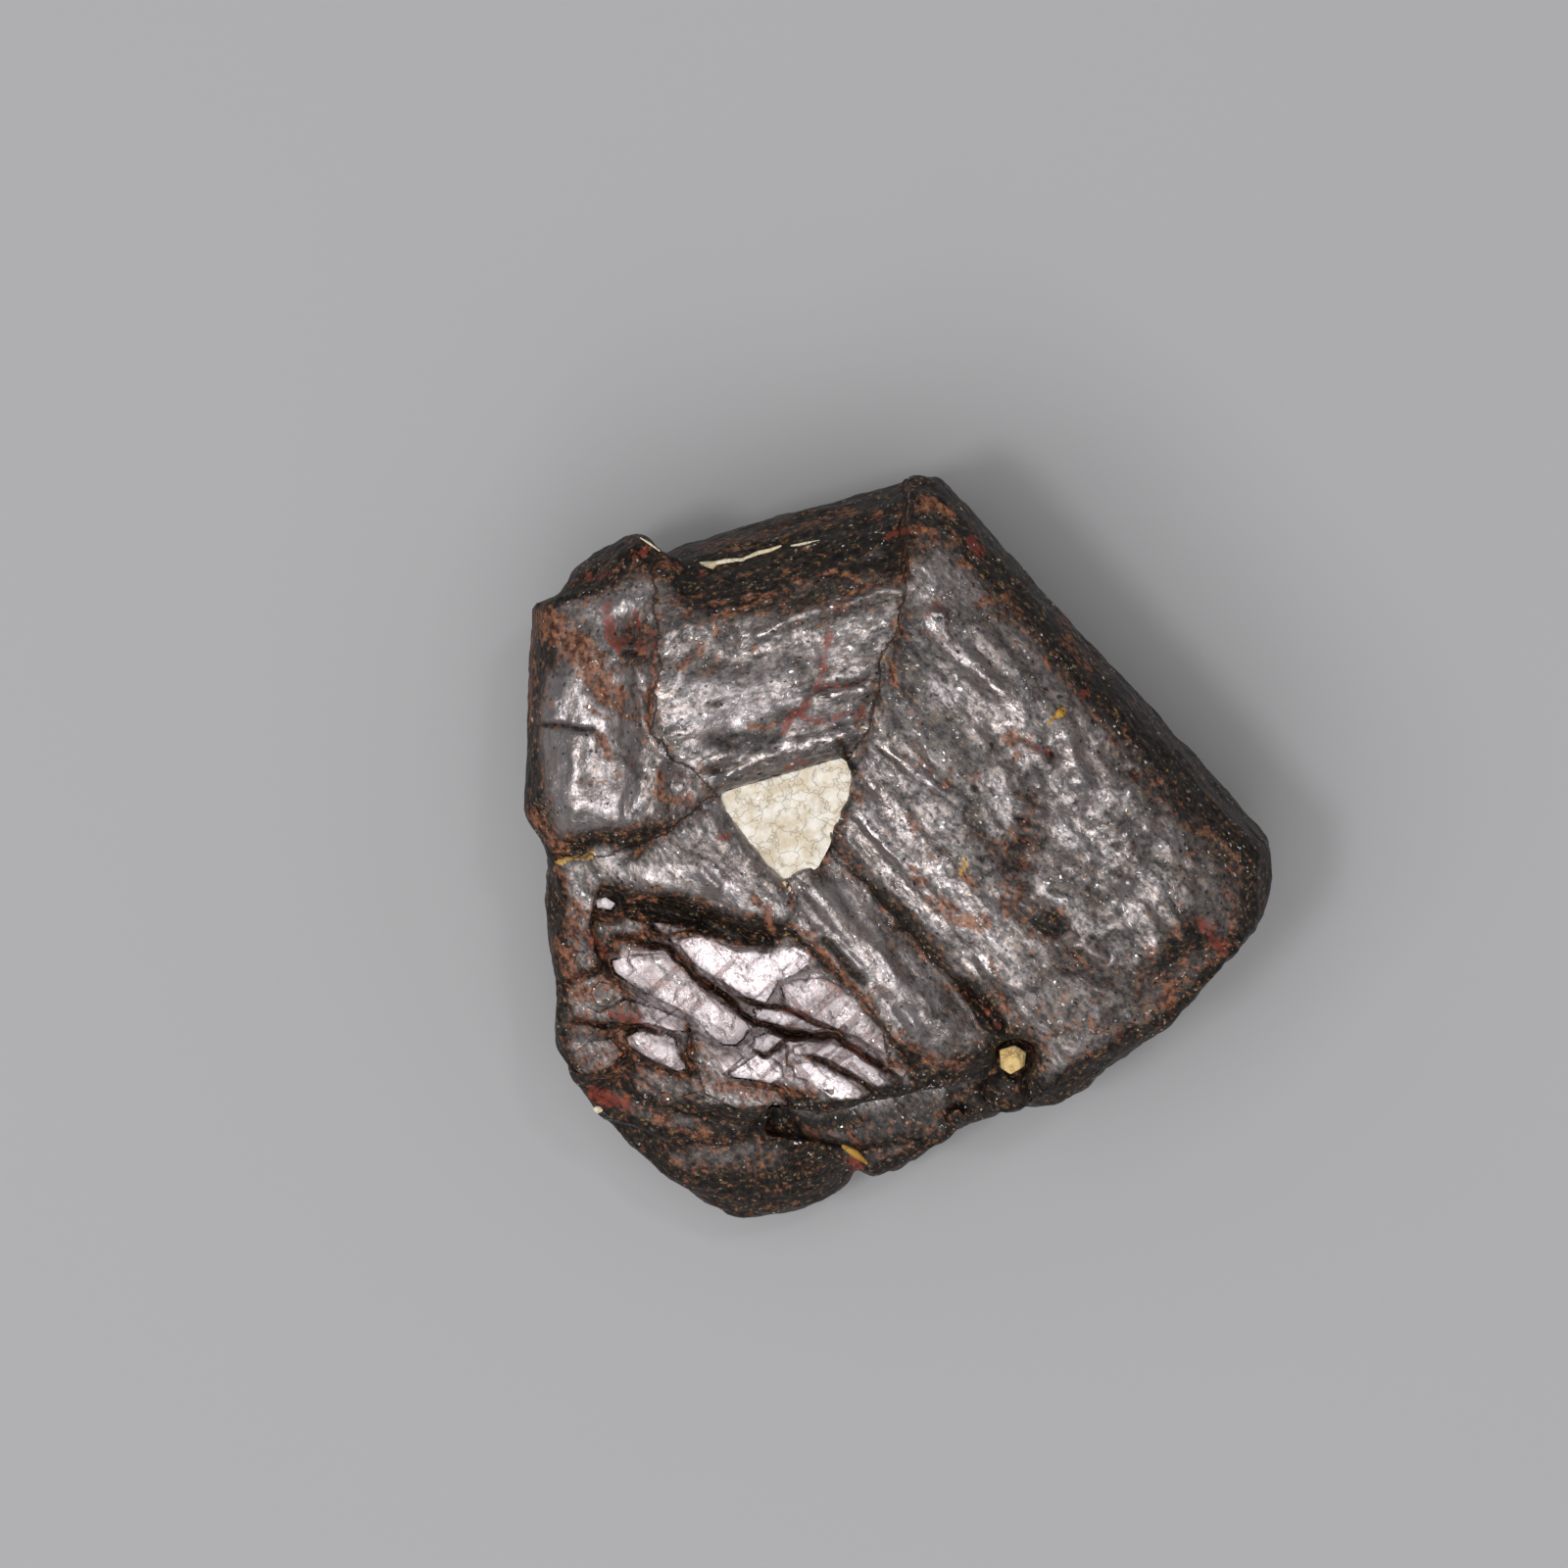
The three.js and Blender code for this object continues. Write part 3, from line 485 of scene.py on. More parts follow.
RIDGES: tuple[Stroke, ...] = (
    Stroke(
        ((-3.8, 5.43), (-3.4, 5.63), (-2.67, 5.99), (-1.64, 6.3), (-1.02, 6.43), (-0.5, 6.61),
         (0.12, 6.67)),
        0.24, 0.13,
    ),
    Stroke(
        ((-4.5, 2.1), (-3.8, 2.3), (-3.08, 2.58), (-2.26, 2.79), (-1.74, 2.93), (-1.07, 3.15)),
        0.22, 0.1,
    ),
    Stroke(((-2.2, 3.9), (-1.6, 4.05), (-1.0, 4.12)), 0.2, 0.07),
    Stroke(((-5.0, 4.9), (-4.2, 4.75), (-3.2, 4.95), (-2.2, 5.1)), 0.5, -0.08),
    Stroke(((-4.9, 2.9), (-4.0, 2.85), (-3.2, 3.0)), 0.4, -0.09),
    Stroke(((-6.65, 4.2), (-6.55, 3.75), (-6.5, 3.25), (-6.45, 2.9)), 0.26, 0.14),
    Stroke(((-6.3, 4.9), (-6.3, 4.1), (-6.32, 3.4)), 0.1, -0.06),
    Stroke(((-8.0, 5.2), (-7.6, 4.2), (-7.2, 3.2), (-7.2, 2.3)), 0.5, -0.1),
    Stroke(((-8.2, 0.45), (-7.3, 0.35), (-6.4, 0.5)), 0.3, -0.12),
    Stroke(((-6.1, 2.7), (-5.7, 2.2), (-5.5, 1.9)), 0.14, 0.08),
    Stroke(((-5.15, -0.3), (-4.85, -0.7), (-4.5, -1.05)), 0.2, 0.1),
    Stroke(((-0.8, 2.96), (-0.04, 2.38), (0.7, 1.8), (1.45, 1.3), (1.78, 0.8)), 0.22, 0.09),
    Stroke(((-0.95, 1.9), (-0.2, 1.1), (0.6, 0.2), (1.5, -0.7)), 0.22, 0.07),
    Stroke(((-1.3, 1.2), (-0.5, 0.3), (0.3, -0.6), (1.2, -1.6)), 0.2, 0.07),
    Stroke(((-1.5, 0.5), (-0.8, -0.2), (0.0, -1.1), (0.8, -2.0)), 0.2, 0.07),
    Stroke(((0.6, 6.1), (1.0, 5.5), (1.5, 4.9), (2.3, 4.35), (2.9, 3.8), (3.35, 3.29)), 0.45, 0.12),
    Stroke(((4.0, 2.8), (4.5, 2.3), (4.84, 1.6)), 0.4, 0.1),
    Stroke(((5.1, 3.2), (5.3, 2.7)), 0.25, 0.08),
    Stroke(((2.36, -1.09), (2.93, -1.26), (3.5, -1.59), (4.0, -2.0)), 0.3, 0.12),
    Stroke(((4.0, -2.25), (4.67, -2.41), (5.33, -2.74)), 0.25, 0.1),
    Stroke(((3.4, -1.0), (3.9, -1.15), (4.5, -1.3)), 0.22, 0.07),
    Stroke(((3.5, -3.1), (4.6, -3.3), (5.8, -3.7)), 0.35, -0.08),
    Stroke(((5.6, -4.1), (6.2, -4.35), (6.6, -4.5)), 0.2, 0.08),
    Stroke(((-2.3, -1.76), (-1.76, -2.3), (-1.3, -2.64), (-0.83, -3.08)), 0.24, 0.12),
    Stroke(((-0.6, -2.25), (-0.3, -2.8), (0.1, -3.3)), 0.24, 0.09),
    Stroke(((-0.1, -3.8), (0.2, -4.2), (0.6, -4.8)), 0.3, 0.1),
)

KNOTS: tuple[Knot, ...] = (
    Knot((3.4, 1.06), 0.2, 0.16, 2.2, -15),
    Knot((3.1, 0.6), 0.2, 0.17, 1.9, -10),
    Knot((2.88, -0.02), 0.27, 0.22, 1.5, -8),
    Knot((2.78, -0.56), 0.25, 0.2, 1.3, -5),
    Knot((3.1, 0.85), 0.16, -0.16, 2.4, -10),
    Knot((3.15, 0.3), 0.18, -0.22, 2.2, -15),
    Knot((3.15, -0.33), 0.2, -0.22, 2.2, -25),
    Knot((3.1, -0.88), 0.18, -0.2, 2.2, -25),
    Knot((3.55, 2.83), 0.14, 0.1),
    Knot((3.45, 2.62), 0.14, -0.12),
    Knot((3.8, 2.48), 0.24, -0.16, 1.4, -35),
    Knot((3.5, 1.68), 0.16, 0.09, 1.5, 20),
    Knot((5.95, 2.0), 0.17, -0.18, 1.3, -60),
    Knot((5.8, 1.58), 0.24, 0.12),
    Knot((5.7, 0.5), 0.2, 0.13, 1.8, 80),
    Knot((5.5, 0.15), 0.16, -0.08, 1.5, -20),
    Knot((5.75, -0.76), 0.25, 0.14, 1.2, 20),
    Knot((5.5, -0.5), 0.16, -0.09, 1.6, -20),
    Knot((7.2, -2.25), 0.34, 0.12, 1.3, 60),
    Knot((6.4, -2.6), 0.34, 0.09, 1.4, -50),
    Knot((7.2, -0.9), 0.4, 0.08, 1.6, 80),
    Knot((0.95, 5.92), 0.36, 0.08),
    Knot((0.95, 5.92), 0.14, -0.2),
    Knot((3.08, 4.82), 0.1, -0.1),
    Knot((1.85, 1.62), 0.12, -0.1),
    Knot((4.67, 4.03), 0.3, 0.07),
    Knot((1.53, -0.26), 0.22, 0.1),
    Knot((-5.0, 5.74), 0.26, 0.12),
    Knot((-4.3, 5.5), 0.32, 0.12),
    Knot((-5.6, 6.35), 0.3, 0.1),
    Knot((-4.53, 6.8), 0.25, 0.09),
    Knot((-5.62, 1.7), 0.26, 0.14),
    Knot((-5.8, 1.35), 0.24, 0.08, 1.5, -30),
    Knot((-6.9, 5.72), 0.62, -0.28, 1.25, 90),
    Knot((-7.0, 6.0), 0.16, 0.12, 1.9, 80),
    Knot((-6.75, 5.6), 0.12, 0.1, 1.6, 80),
    Knot((-6.7, 4.73), 0.4, 0.2),
    Knot((-6.8, 5.06), 0.14, -0.16, 2.2, 8),
    Knot((-8.85, 3.85), 0.2, 0.06),
    Knot((-8.3, 2.5), 0.8, 0.1, 1.2, 100),
    Knot((-7.3, 1.2), 0.75, 0.12, 1.3, 10),
    Knot((-6.9, 2.45), 0.22, -0.1),
    Knot((-2.6, -0.45), 0.22, 0.1),
    Knot((-3.08, -0.86), 0.14, 0.08),
    Knot((-7.42, 7.72), 0.2, 0.1, 2.0, 30),
    Knot((-7.1, 7.32), 0.16, 0.08),
    Knot((-1.43, -4.5), 0.12, 0.08),
)

INNER_FLANK: Path = (
    (-1.0, 3.1), (0.3, 2.6), (2.0, 0.6), (2.9, -1.2), (3.0, -3.2), (2.2, -4.0), (0.3, -2.2), (-1.9, 0.3),
    (-1.4, 1.6),
)
RIGHT_CREST: Path = (
    (1.8, 3.6), (4.4, 3.2), (6.6, 1.2), (7.8, -1.2), (7.2, -3.0), (5.0, -3.6), (3.0, -2.2), (2.2, 0.4),
)
TOP_OUTER: Path = ((-6.2, 5.3), (-3.9, 5.6), (-0.2, 6.8), (0.2, 9.8), (-6.2, 9.0))
BROKEN: Path = (
    (-8.9, -0.9), (-7.0, -1.2), (-3.2, -2.2), (-1.8, -2.4), (0.4, -5.4), (0.2, -6.2), (-3.0, -6.6),
    (-8.8, -6.0),
)
TORN: Path = (
    (-7.5, -2.7), (-6.0, -2.1), (-3.3, -2.3), (-1.9, -3.0), (-0.3, -4.7), (-0.2, -5.8), (-1.0, -6.4),
    (-2.9, -6.0), (-4.5, -5.8), (-5.2, -4.9), (-6.0, -5.5), (-7.0, -5.0), (-6.6, -4.2),
)
SEAT: Path = ((-5.4, 2.5), (-3.2, 3.2), (-0.9, 3.8), (-0.8, 2.2), (-2.4, -1.2), (-3.8, -0.6), (-5.2, 1.2))

RELIEFS: tuple[Relief, ...] = (
    Relief(Texture.CLOUD, 0.6, 0.060, 1),
    Relief(Texture.CLOUD, 1.6, 0.050, 2),
    Relief(Texture.STRIAE, 1.5, 0.055, 3),
    Relief(Texture.STRIAE, 3.0, 0.030, 4, INNER_FLANK),
    Relief(Texture.STRIAE, 2.2, 0.050, 5, TOP_OUTER),
    Relief(Texture.PEBBLES, 1.5, 0.16, 6, RIGHT_CREST),
    Relief(Texture.CHIPS, 1.7, 0.10, 7, BROKEN, 0.15),
)

WORN: tuple[Patch, ...] = (
    Patch(((-9.5, 3.4), (-9.1, 4.8), (-6.8, 4.8), (-6.4, 3.2), (-6.6, 0.5), (-9.0, 0.1)), 1.0),
    Patch(((-8.2, 0.1), (-5.2, -0.1), (-3.4, -1.0), (-3.9, -1.8), (-5.4, -1.3), (-6.9, -1.1)), 1.0),
    Patch(((-2.8, -0.7), (-1.2, -0.4), (0.5, -3.2), (1.0, -4.8), (-0.2, -5.2), (-2.2, -2.6)), 0.85),
    Patch(((-6.0, 4.8), (-3.2, 5.0), (-2.8, 3.2), (-5.2, 2.4), (-6.0, 3.2)), 0.75),
)
# Zones painted darker, with less lustre and a little more rust
DARK_PATCHES: tuple[Patch, ...] = (
    Patch(((6.6, 0.2), (8.6, -0.6), (9.4, -1.6), (8.4, -3.0), (6.8, -3.8), (6.4, -2.4)), 0.45),
    Patch(((2.6, -2.2), (5.8, -2.0), (6.8, -3.8), (4.6, -5.4), (2.9, -4.6)), 0.45),
    Patch(
        ((-8.6, -5.7), (-6.6, -6.5), (-4.4, -6.6), (-2.0, -6.6), (-0.6, -6.3), (0.2, -9.5), (-4.0, -10.5),
         (-8.5, -8.5)),
        0.45,
    ),
    Patch(
        ((-1.9, -6.6), (0.3, -6.1), (2.4, -5.9), (3.4, -5.0), (4.2, -6.5), (2.0, -8.5), (-1.5, -9.5)),
        0.8,
    ),
    Patch(((-8.6, 6.5), (-8.2, 8.2), (-7.2, 8.8), (-6.2, 8.0), (-6.4, 7.0), (-7.4, 6.6)), 0.8),
    Patch(((-9.9, 3.6), (-9.9, 7.0), (-8.6, 6.8), (-8.3, 5.2), (-8.7, 3.6)), 0.4),
    Patch(((-5.9, 7.2), (-3.4, 7.6), (-0.3, 9.0), (-0.3, 10.5), (-6.5, 9.0)), 0.5),
)

STAINS: dict[Tint, tuple[Stain, ...]] = {
    Tint.RUST: (
        # Seams between the limbs
        Stain(((0.15, 9.7), (0.1, 8.4), (0.1, 6.5), (-0.4, 4.9), (-0.95, 3.0)), 0.4, 0.5),
        Stain(((-6.05, 8.8), (-6.2, 7.2), (-6.2, 5.0), (-6.2, 3.0), (-5.4, 2.2), (-4.7, 1.5)), 0.4, 0.5),
        # Right limb
        Stain(((0.6, 8.98), (0.95, 8.8), (1.3, 8.6)), 0.3),
        Stain(((2.0, 6.35), (2.7, 6.4), (3.1, 6.1)), 0.25, 0.75),
        Stain(((4.1, 6.0), (4.3, 5.3), (4.8, 4.7)), 0.3, 0.7),
        Stain(((2.75, 2.85), (3.15, 2.85)), 0.36),
        Stain(((2.93, 2.5),), 0.22),
        Stain(((1.86, 1.9),), 0.26, 0.9),
        Stain(((0.33, 2.9), (0.5, 2.4), (0.85, 1.95)), 0.13, 0.6),
        Stain(((1.3, 2.0), (1.2, 1.7)), 0.25, 0.6),
        Stain(((5.83, 0.15),), 0.16, 0.9),
        Stain(((1.55, -0.4), (1.9, -0.9)), 0.25, 0.8),
        Stain(((0.3, 0.9), (0.5, 0.6)), 0.25, 0.7),
        Stain(((0.2, -0.5), (0.7, -0.9)), 0.3, 0.7),
        Stain(((0.8, -1.25), (1.4, -1.6), (2.1, -1.8)), 0.42, 0.85),
        Stain(((2.35, -2.6), (2.55, -3.3), (2.65, -3.9)), 0.14, 0.9),
        Stain(((7.36, 0.02),), 0.2),
        Stain(((6.95, -3.4), (6.75, -3.8)), 0.34, 0.95),
        Stain(((7.8, -2.4), (8.3, -2.5)), 0.25, 0.7),
        Stain(((5.4, -3.2),), 0.16, 0.9),
        Stain(((3.8, -4.6), (4.6, -4.4), (5.6, -4.5)), 0.3, 0.7),
        # Left limb
        Stain(((-9.0, 5.9), (-8.2, 5.3), (-7.8, 4.6), (-7.3, 4.1)), 0.7, 0.9),
        Stain(((-8.6, 5.7), (-8.0, 5.3), (-7.7, 4.8)), 0.55, 0.6),
        Stain(((-7.85, 4.35), (-7.5, 4.45)), 0.22),
        Stain(((-7.95, 3.7), (-7.45, 3.5), (-6.75, 3.4), (-6.35, 3.42)), 0.11),
        Stain(((-7.65, 3.0), (-7.4, 2.5), (-7.1, 2.05)), 0.25, 0.85),
        Stain(((-8.2, 1.75), (-7.5, 1.8)), 0.14, 0.7),
        Stain(((-6.1, 2.0), (-6.15, 1.6), (-5.85, 1.3), (-5.3, 1.3)), 0.24, 0.95),
        Stain(((-8.87, 3.85),), 0.2, 0.8),
        Stain(((-6.45, 2.6),), 0.3, 0.6),
        Stain(((-9.45, 5.6), (-9.5, 4.6), (-9.45, 3.3)), 0.3, 0.7),
        Stain(((-9.3, 1.0), (-8.9, 0.4), (-8.6, 0.1)), 0.35, 0.8),
        Stain(((-6.05, 7.35), (-5.6, 7.3)), 0.25, 0.9),
        # Top limb
        Stain(((-3.85, 3.2), (-3.1, 3.3)), 0.16),
        Stain(((-4.66, 6.36), (-4.7, 5.95), (-4.7, 5.5)), 0.12),
        Stain(((-5.2, 5.3), (-5.1, 5.2)), 0.18),
        Stain(((-5.6, 4.75), (-5.35, 4.9)), 0.18, 0.85),
        Stain(((-4.7, 4.9), (-4.85, 4.5)), 0.18, 0.6),
        Stain(((-3.7, 5.2),), 0.18, 0.8),
        Stain(((-6.26, 5.1), (-6.29, 4.1), (-6.34, 3.4), (-6.5, 2.85)), 0.13),
        Stain(((-6.05, 6.4), (-6.1, 5.9)), 0.12, 0.8),
        Stain(((-0.55, 8.62),), 0.28),
        Stain(((0.35, 8.25), (0.85, 8.15)), 0.2),
        Stain(((-1.4, 7.0), (-0.6, 6.75)), 0.2, 0.8),
        Stain(((0.0, 6.95), (0.25, 7.0)), 0.16, 0.9),
        Stain(((-3.0, 6.77), (-2.26, 6.98), (-1.3, 7.4)), 0.13, 0.75),
        Stain(((-3.9, 6.5), (-3.3, 6.55)), 0.16, 0.75),
        Stain(((-2.9, 7.1),), 0.22, 0.7),
        Stain(((-5.1, 7.75), (-4.0, 8.0), (-2.6, 8.35), (-1.2, 8.75)), 0.3, 0.6),
        Stain(((-0.1, 5.9), (-0.1, 5.3)), 0.25, 0.6),
        Stain(((-0.14, 4.65), (-0.14, 4.3)), 0.14, 0.9),
        # Block and broken zone
        Stain(((-6.9, -1.15), (-6.3, -1.15)), 0.18, 0.85),
        Stain(((-3.7, -1.1), (-3.35, -1.5), (-3.3, -1.95)), 0.25, 0.95),
        Stain(((-8.6, -0.5), (-8.4, -1.2), (-8.3, -1.9)), 0.35, 0.8),
        Stain(((-8.7, -2.3), (-8.4, -3.0), (-8.0, -3.6)), 0.45, 0.8),
        Stain(
            ((-2.75, -1.8), (-2.2, -2.2), (-1.8, -2.75), (-1.43, -3.2), (-1.0, -3.6), (-0.6, -4.1)),
            0.15,
        ),
        Stain(((-0.9, -3.7), (-0.4, -3.6)), 0.3, 0.7),
        Stain(((0.2, -4.7), (0.9, -5.3), (1.5, -5.4)), 0.35, 0.7),
        Stain(((-5.1, -4.9), (-4.5, -5.2), (-4.3, -5.5)), 0.4, 0.75),
        Stain(((-4.6, -6.0), (-3.6, -6.2), (-2.6, -6.1)), 0.35, 0.8),
        # Lower side
        Stain(((-6.2, -6.9), (-5.2, -7.25), (-4.4, -7.5)), 0.3, 0.7),
    ),
    Tint.RED: (
        # Right limb
        Stain(((1.8, 7.95), (2.0, 7.6)), 0.3),
        Stain(((0.6, 6.0), (0.85, 6.25), (1.2, 6.1)), 0.18, 0.7),
        Stain(((4.67, 4.03),), 0.26),
        Stain(((3.35, 2.75), (3.8, 2.45)), 0.2, 0.7),
        Stain(((3.0, 0.86), (3.3, 0.8)), 0.1, 0.7),
        Stain(((7.56, -1.75), (8.2, -2.4)), 0.35, 0.75),
        # Left limb
        Stain(((-7.5, 6.3), (-7.35, 5.7), (-7.1, 5.3), (-6.6, 5.3)), 0.25, 0.7),
        Stain(((-7.4, 6.0), (-7.38, 5.5), (-7.1, 5.15)), 0.2),
        Stain(((-6.75, 6.2), (-6.7, 5.7)), 0.12),
        Stain(((-6.3, 5.6), (-6.3, 5.2)), 0.12, 0.9),
        Stain(((-7.9, 7.05), (-7.5, 7.1)), 0.2, 0.8),
        Stain(((-6.8, 7.55), (-6.5, 7.65)), 0.2, 0.8),
        Stain(((-6.95, 1.05),), 0.12),
        # Top limb
        Stain(((-1.8, 5.7), (-1.95, 5.1), (-1.9, 4.6), (-2.15, 4.2)), 0.17, 0.85),
        Stain(((-2.36, 3.85), (-2.5, 3.65), (-2.8, 3.35), (-2.98, 2.95)), 0.18),
        Stain(((-2.2, 4.05), (-1.53, 4.26), (-0.97, 4.36)), 0.1, 0.8),
        Stain(((-2.5, 3.4), (-1.8, 3.4), (-1.05, 3.55)), 0.22, 0.75),
        Stain(((-2.9, 2.2), (-2.4, 2.35)), 0.2, 0.8),
        Stain(((-0.75, 6.2), (-0.5, 6.05)), 0.16, 0.8),
        Stain(((-0.4, 8.03), (0.22, 8.27)), 0.12),
        Stain(((-5.05, 7.13),), 0.2, 0.9),
        # Block and broken zone
        Stain(((-4.66, 0.35), (-4.3, 0.45)), 0.16, 0.8),
        Stain(((-7.9, -2.3), (-7.3, -2.6)), 0.3, 0.6),
        Stain(((-7.4, -4.15), (-6.8, -4.3), (-6.0, -4.4)), 0.22, 0.8),
        Stain(((-1.2, -5.0), (-0.6, -5.5)), 0.2, 0.8),
        Stain(((-3.0, -4.0), (-2.2, -4.2)), 0.12, 0.8),
        Stain(((-7.8, -6.2), (-7.1, -6.5)), 0.35, 0.9),
        # Lower side
        Stain(((-1.1, -8.1), (-1.0, -9.0)), 0.34),
    ),
    Tint.OCHRE: (
        # Right limb
        Stain(((1.5, -0.15), (1.6, -0.5)), 0.2, 0.8),
        # Block and broken zone
        Stain(((-8.75, -0.2), (-8.3, -0.17), (-7.9, -0.12)), 0.12),
    ),
    Tint.HAZE: (
        # Right limb
        Stain(((0.6, 6.1), (1.0, 5.5), (1.5, 4.9), (2.3, 4.35), (2.9, 3.8), (3.3, 3.3)), 0.4),
        Stain(((2.1, 3.37), (2.9, 3.25)), 0.2, 0.9),
        Stain(((4.0, 2.8), (4.5, 2.3), (4.7, 1.9)), 0.4, 0.85),
        Stain(((4.3, 2.4), (4.84, 1.5)), 0.35, 0.7),
        Stain(((5.8, 1.58),), 0.3),
        Stain(((5.1, 3.2), (5.3, 2.7)), 0.25, 0.8),
        Stain(((3.1, 1.14), (3.7, 0.97)), 0.26),
        Stain(((2.85, 0.64), (3.35, 0.57)), 0.26),
        Stain(((2.6, 0.0), (3.15, -0.05)), 0.32),
        Stain(((2.55, -0.55), (3.0, -0.6)), 0.28),
        Stain(((2.36, -1.09), (2.93, -1.26), (3.5, -1.59), (4.0, -2.0)), 0.32),
        Stain(((4.0, -2.25), (4.67, -2.41), (5.33, -2.74)), 0.26, 0.9),
        Stain(((5.7, 0.6), (5.66, 0.35)), 0.24),
        Stain(((4.9, 0.1), (5.6, -0.2)), 0.4, 0.65),
        Stain(((5.75, -0.76),), 0.3),
        Stain(((7.2, -0.3), (7.2, -1.2)), 0.5, 0.6),
        Stain(((7.2, -2.25),), 0.42),
        Stain(((6.3, -2.3), (6.5, -2.8)), 0.38, 0.85),
        Stain(((3.4, -1.0), (4.4, -1.3)), 0.3, 0.6),
        Stain(((1.3, -3.2), (1.8, -2.9), (2.25, -2.75)), 0.4),
        Stain(((2.1, -2.1),), 0.25, 0.8),
        Stain(((-0.8, 2.96), (-0.04, 2.38), (0.7, 1.8), (1.45, 1.3)), 0.17),
        Stain(((-0.95, 1.9), (-0.2, 1.1), (0.6, 0.2)), 0.4, 0.9),
        Stain(((-1.3, 1.1), (-0.95, 0.65), (0.29, -0.85), (0.9, -1.6)), 0.55, 0.95),
        Stain(((0.6, -0.2), (1.5, -1.0), (2.1, -1.5)), 0.35, 0.8),
        Stain(((5.9, -4.25), (6.5, -4.5)), 0.2, 0.9),
        Stain(((3.5, -3.2), (4.3, -3.5)), 0.45, 0.5),
        # Left limb
        Stain(((-7.0, 6.15), (-6.95, 5.8)), 0.24, 0.95),
        Stain(((-6.72, 4.75), (-6.7, 4.55)), 0.4),
        Stain(((-6.7, 4.73),), 0.36),
        Stain(((-6.65, 4.2), (-6.55, 3.75), (-6.5, 3.25), (-6.45, 2.9)), 0.24),
        Stain(((-7.0, 6.15), (-6.98, 5.7)), 0.17),
        Stain(((-9.0, 4.5), (-8.8, 3.7)), 0.4, 0.8),
        Stain(((-8.8, 2.7), (-8.3, 2.4), (-8.0, 2.1)), 0.7, 0.9),
        Stain(((-8.1, 1.2), (-7.3, 1.3), (-6.8, 0.9)), 0.6, 0.95),
        Stain(((-6.0, 2.4), (-5.98, 2.1)), 0.14),
        Stain(((-5.62, 1.7),), 0.26),
        # Top limb
        Stain(((-3.8, 5.43), (-2.67, 5.99), (-1.64, 6.3), (-0.5, 6.61), (0.12, 6.67)), 0.2),
        Stain(((-6.0, 3.9), (-5.6, 3.3), (-5.1, 2.9)), 0.6, 0.85),
        Stain(((-5.0, 3.5), (-4.2, 3.4), (-3.4, 3.6)), 0.35, 0.7),
        Stain(((-5.9, 5.4), (-5.6, 4.6)), 0.45, 0.7),
        Stain(((-5.0, 5.74),), 0.3),
        Stain(((-4.3, 5.55), (-4.5, 5.1)), 0.35),
        Stain(((-5.6, 6.35),), 0.35, 0.8),
        Stain(((-4.5, 6.8), (-4.4, 6.5)), 0.25, 0.8),
        Stain(((-1.2, 5.6), (-0.6, 5.4)), 0.4, 0.6),
        Stain(((-2.2, 3.92), (-1.6, 4.02), (-1.0, 4.1)), 0.22),
        Stain(((-4.5, 2.1), (-3.8, 2.3), (-3.08, 2.58), (-2.26, 2.79), (-1.07, 3.15)), 0.2),
        Stain(((-1.4, 7.05), (-0.7, 6.95)), 0.2, 0.7),
        # Block and broken zone
        Stain(((-5.9, -0.35), (-5.1, -0.75), (-4.2, -0.95)), 0.45, 0.95),
        Stain(((-6.3, 0.0), (-5.4, 0.15)), 0.35, 0.5),
        Stain(((-8.4, -0.5), (-8.1, -1.3)), 0.3, 0.5),
        Stain(((-2.3, -1.76), (-1.76, -2.3), (-1.3, -2.64), (-0.83, -3.08)), 0.2, 0.9),
        Stain(((-0.6, -2.25), (-0.3, -2.8), (0.1, -3.3)), 0.24),
        Stain(((-0.1, -3.8), (0.2, -4.2), (0.6, -4.8)), 0.3, 0.8),
        # Lower side
        Stain(((-5.6, -6.85), (-4.8, -6.9), (-3.9, -7.0)), 0.1),
        Stain(((-1.75, -7.9), (-1.65, -8.7)), 0.2, 0.8),
        Stain(((2.6, -6.1), (3.0, -6.3)), 0.35),
        Stain(((1.45, -6.85),), 0.16),
    ),
    # Painted shade in seams, pits, grooves and cracks, the trench under the block, the cavity and on flanks
    # that fall away from the light
    Tint.SHADE: (
        # Seams between the limbs
        Stain(((0.2, 6.2), (0.0, 5.2), (-0.3, 4.2), (0.1, 3.3)), 0.6, 0.6),
        Stain(((3.25, 0.85), (3.3, 0.3), (3.3, -0.33), (3.25, -0.9)), 0.16, 0.6),
        # Right limb
        Stain(((1.0, 5.3), (0.4, 4.6), (0.0, 3.6)), 0.6, 0.5),
        Stain(((1.8, 5.9), (2.6, 5.3), (3.4, 4.5), (3.9, 3.8)), 0.6, 0.35),
        Stain(((-0.3, 3.9), (0.6, 3.3), (1.9, 2.3)), 0.8, 0.6),
        Stain(((1.1, 1.8), (1.8, 1.0), (2.2, 0.2), (1.9, -0.6)), 0.4, 0.5),
        Stain(((2.6, 7.2), (3.6, 5.9), (5.2, 4.3), (6.5, 2.5), (7.7, 0.8), (8.6, -0.6)), 0.95, 0.8),
        Stain(((8.6, -1.0), (8.2, -2.3), (7.4, -3.3)), 0.8, 0.6),
        Stain(((3.4, 0.3), (3.5, -0.35), (4.1, -0.7), (5.1, -1.2)), 0.4, 0.6),
        Stain(((3.5, -2.8), (5.0, -3.1), (5.8, -3.5)), 0.5, 0.5),
        Stain(((1.6, -3.4), (2.0, -3.8), (2.4, -4.2), (2.75, -4.7)), 0.26),
        # Left limb
        Stain(((-7.9, 5.6), (-7.6, 5.0)), 0.6, 0.5),
        Stain(((-7.8, 4.1), (-7.3, 3.9), (-7.1, 3.6)), 0.45, 0.75),
        Stain(((-7.2, 3.1), (-6.95, 2.5), (-6.6, 1.95)), 0.25, 0.7),
        Stain(((-7.95, 0.4), (-7.2, 0.3), (-6.4, 0.5)), 0.25, 0.8),
        Stain(((-7.05, 5.0), (-6.8, 5.08), (-6.55, 5.05)), 0.12),
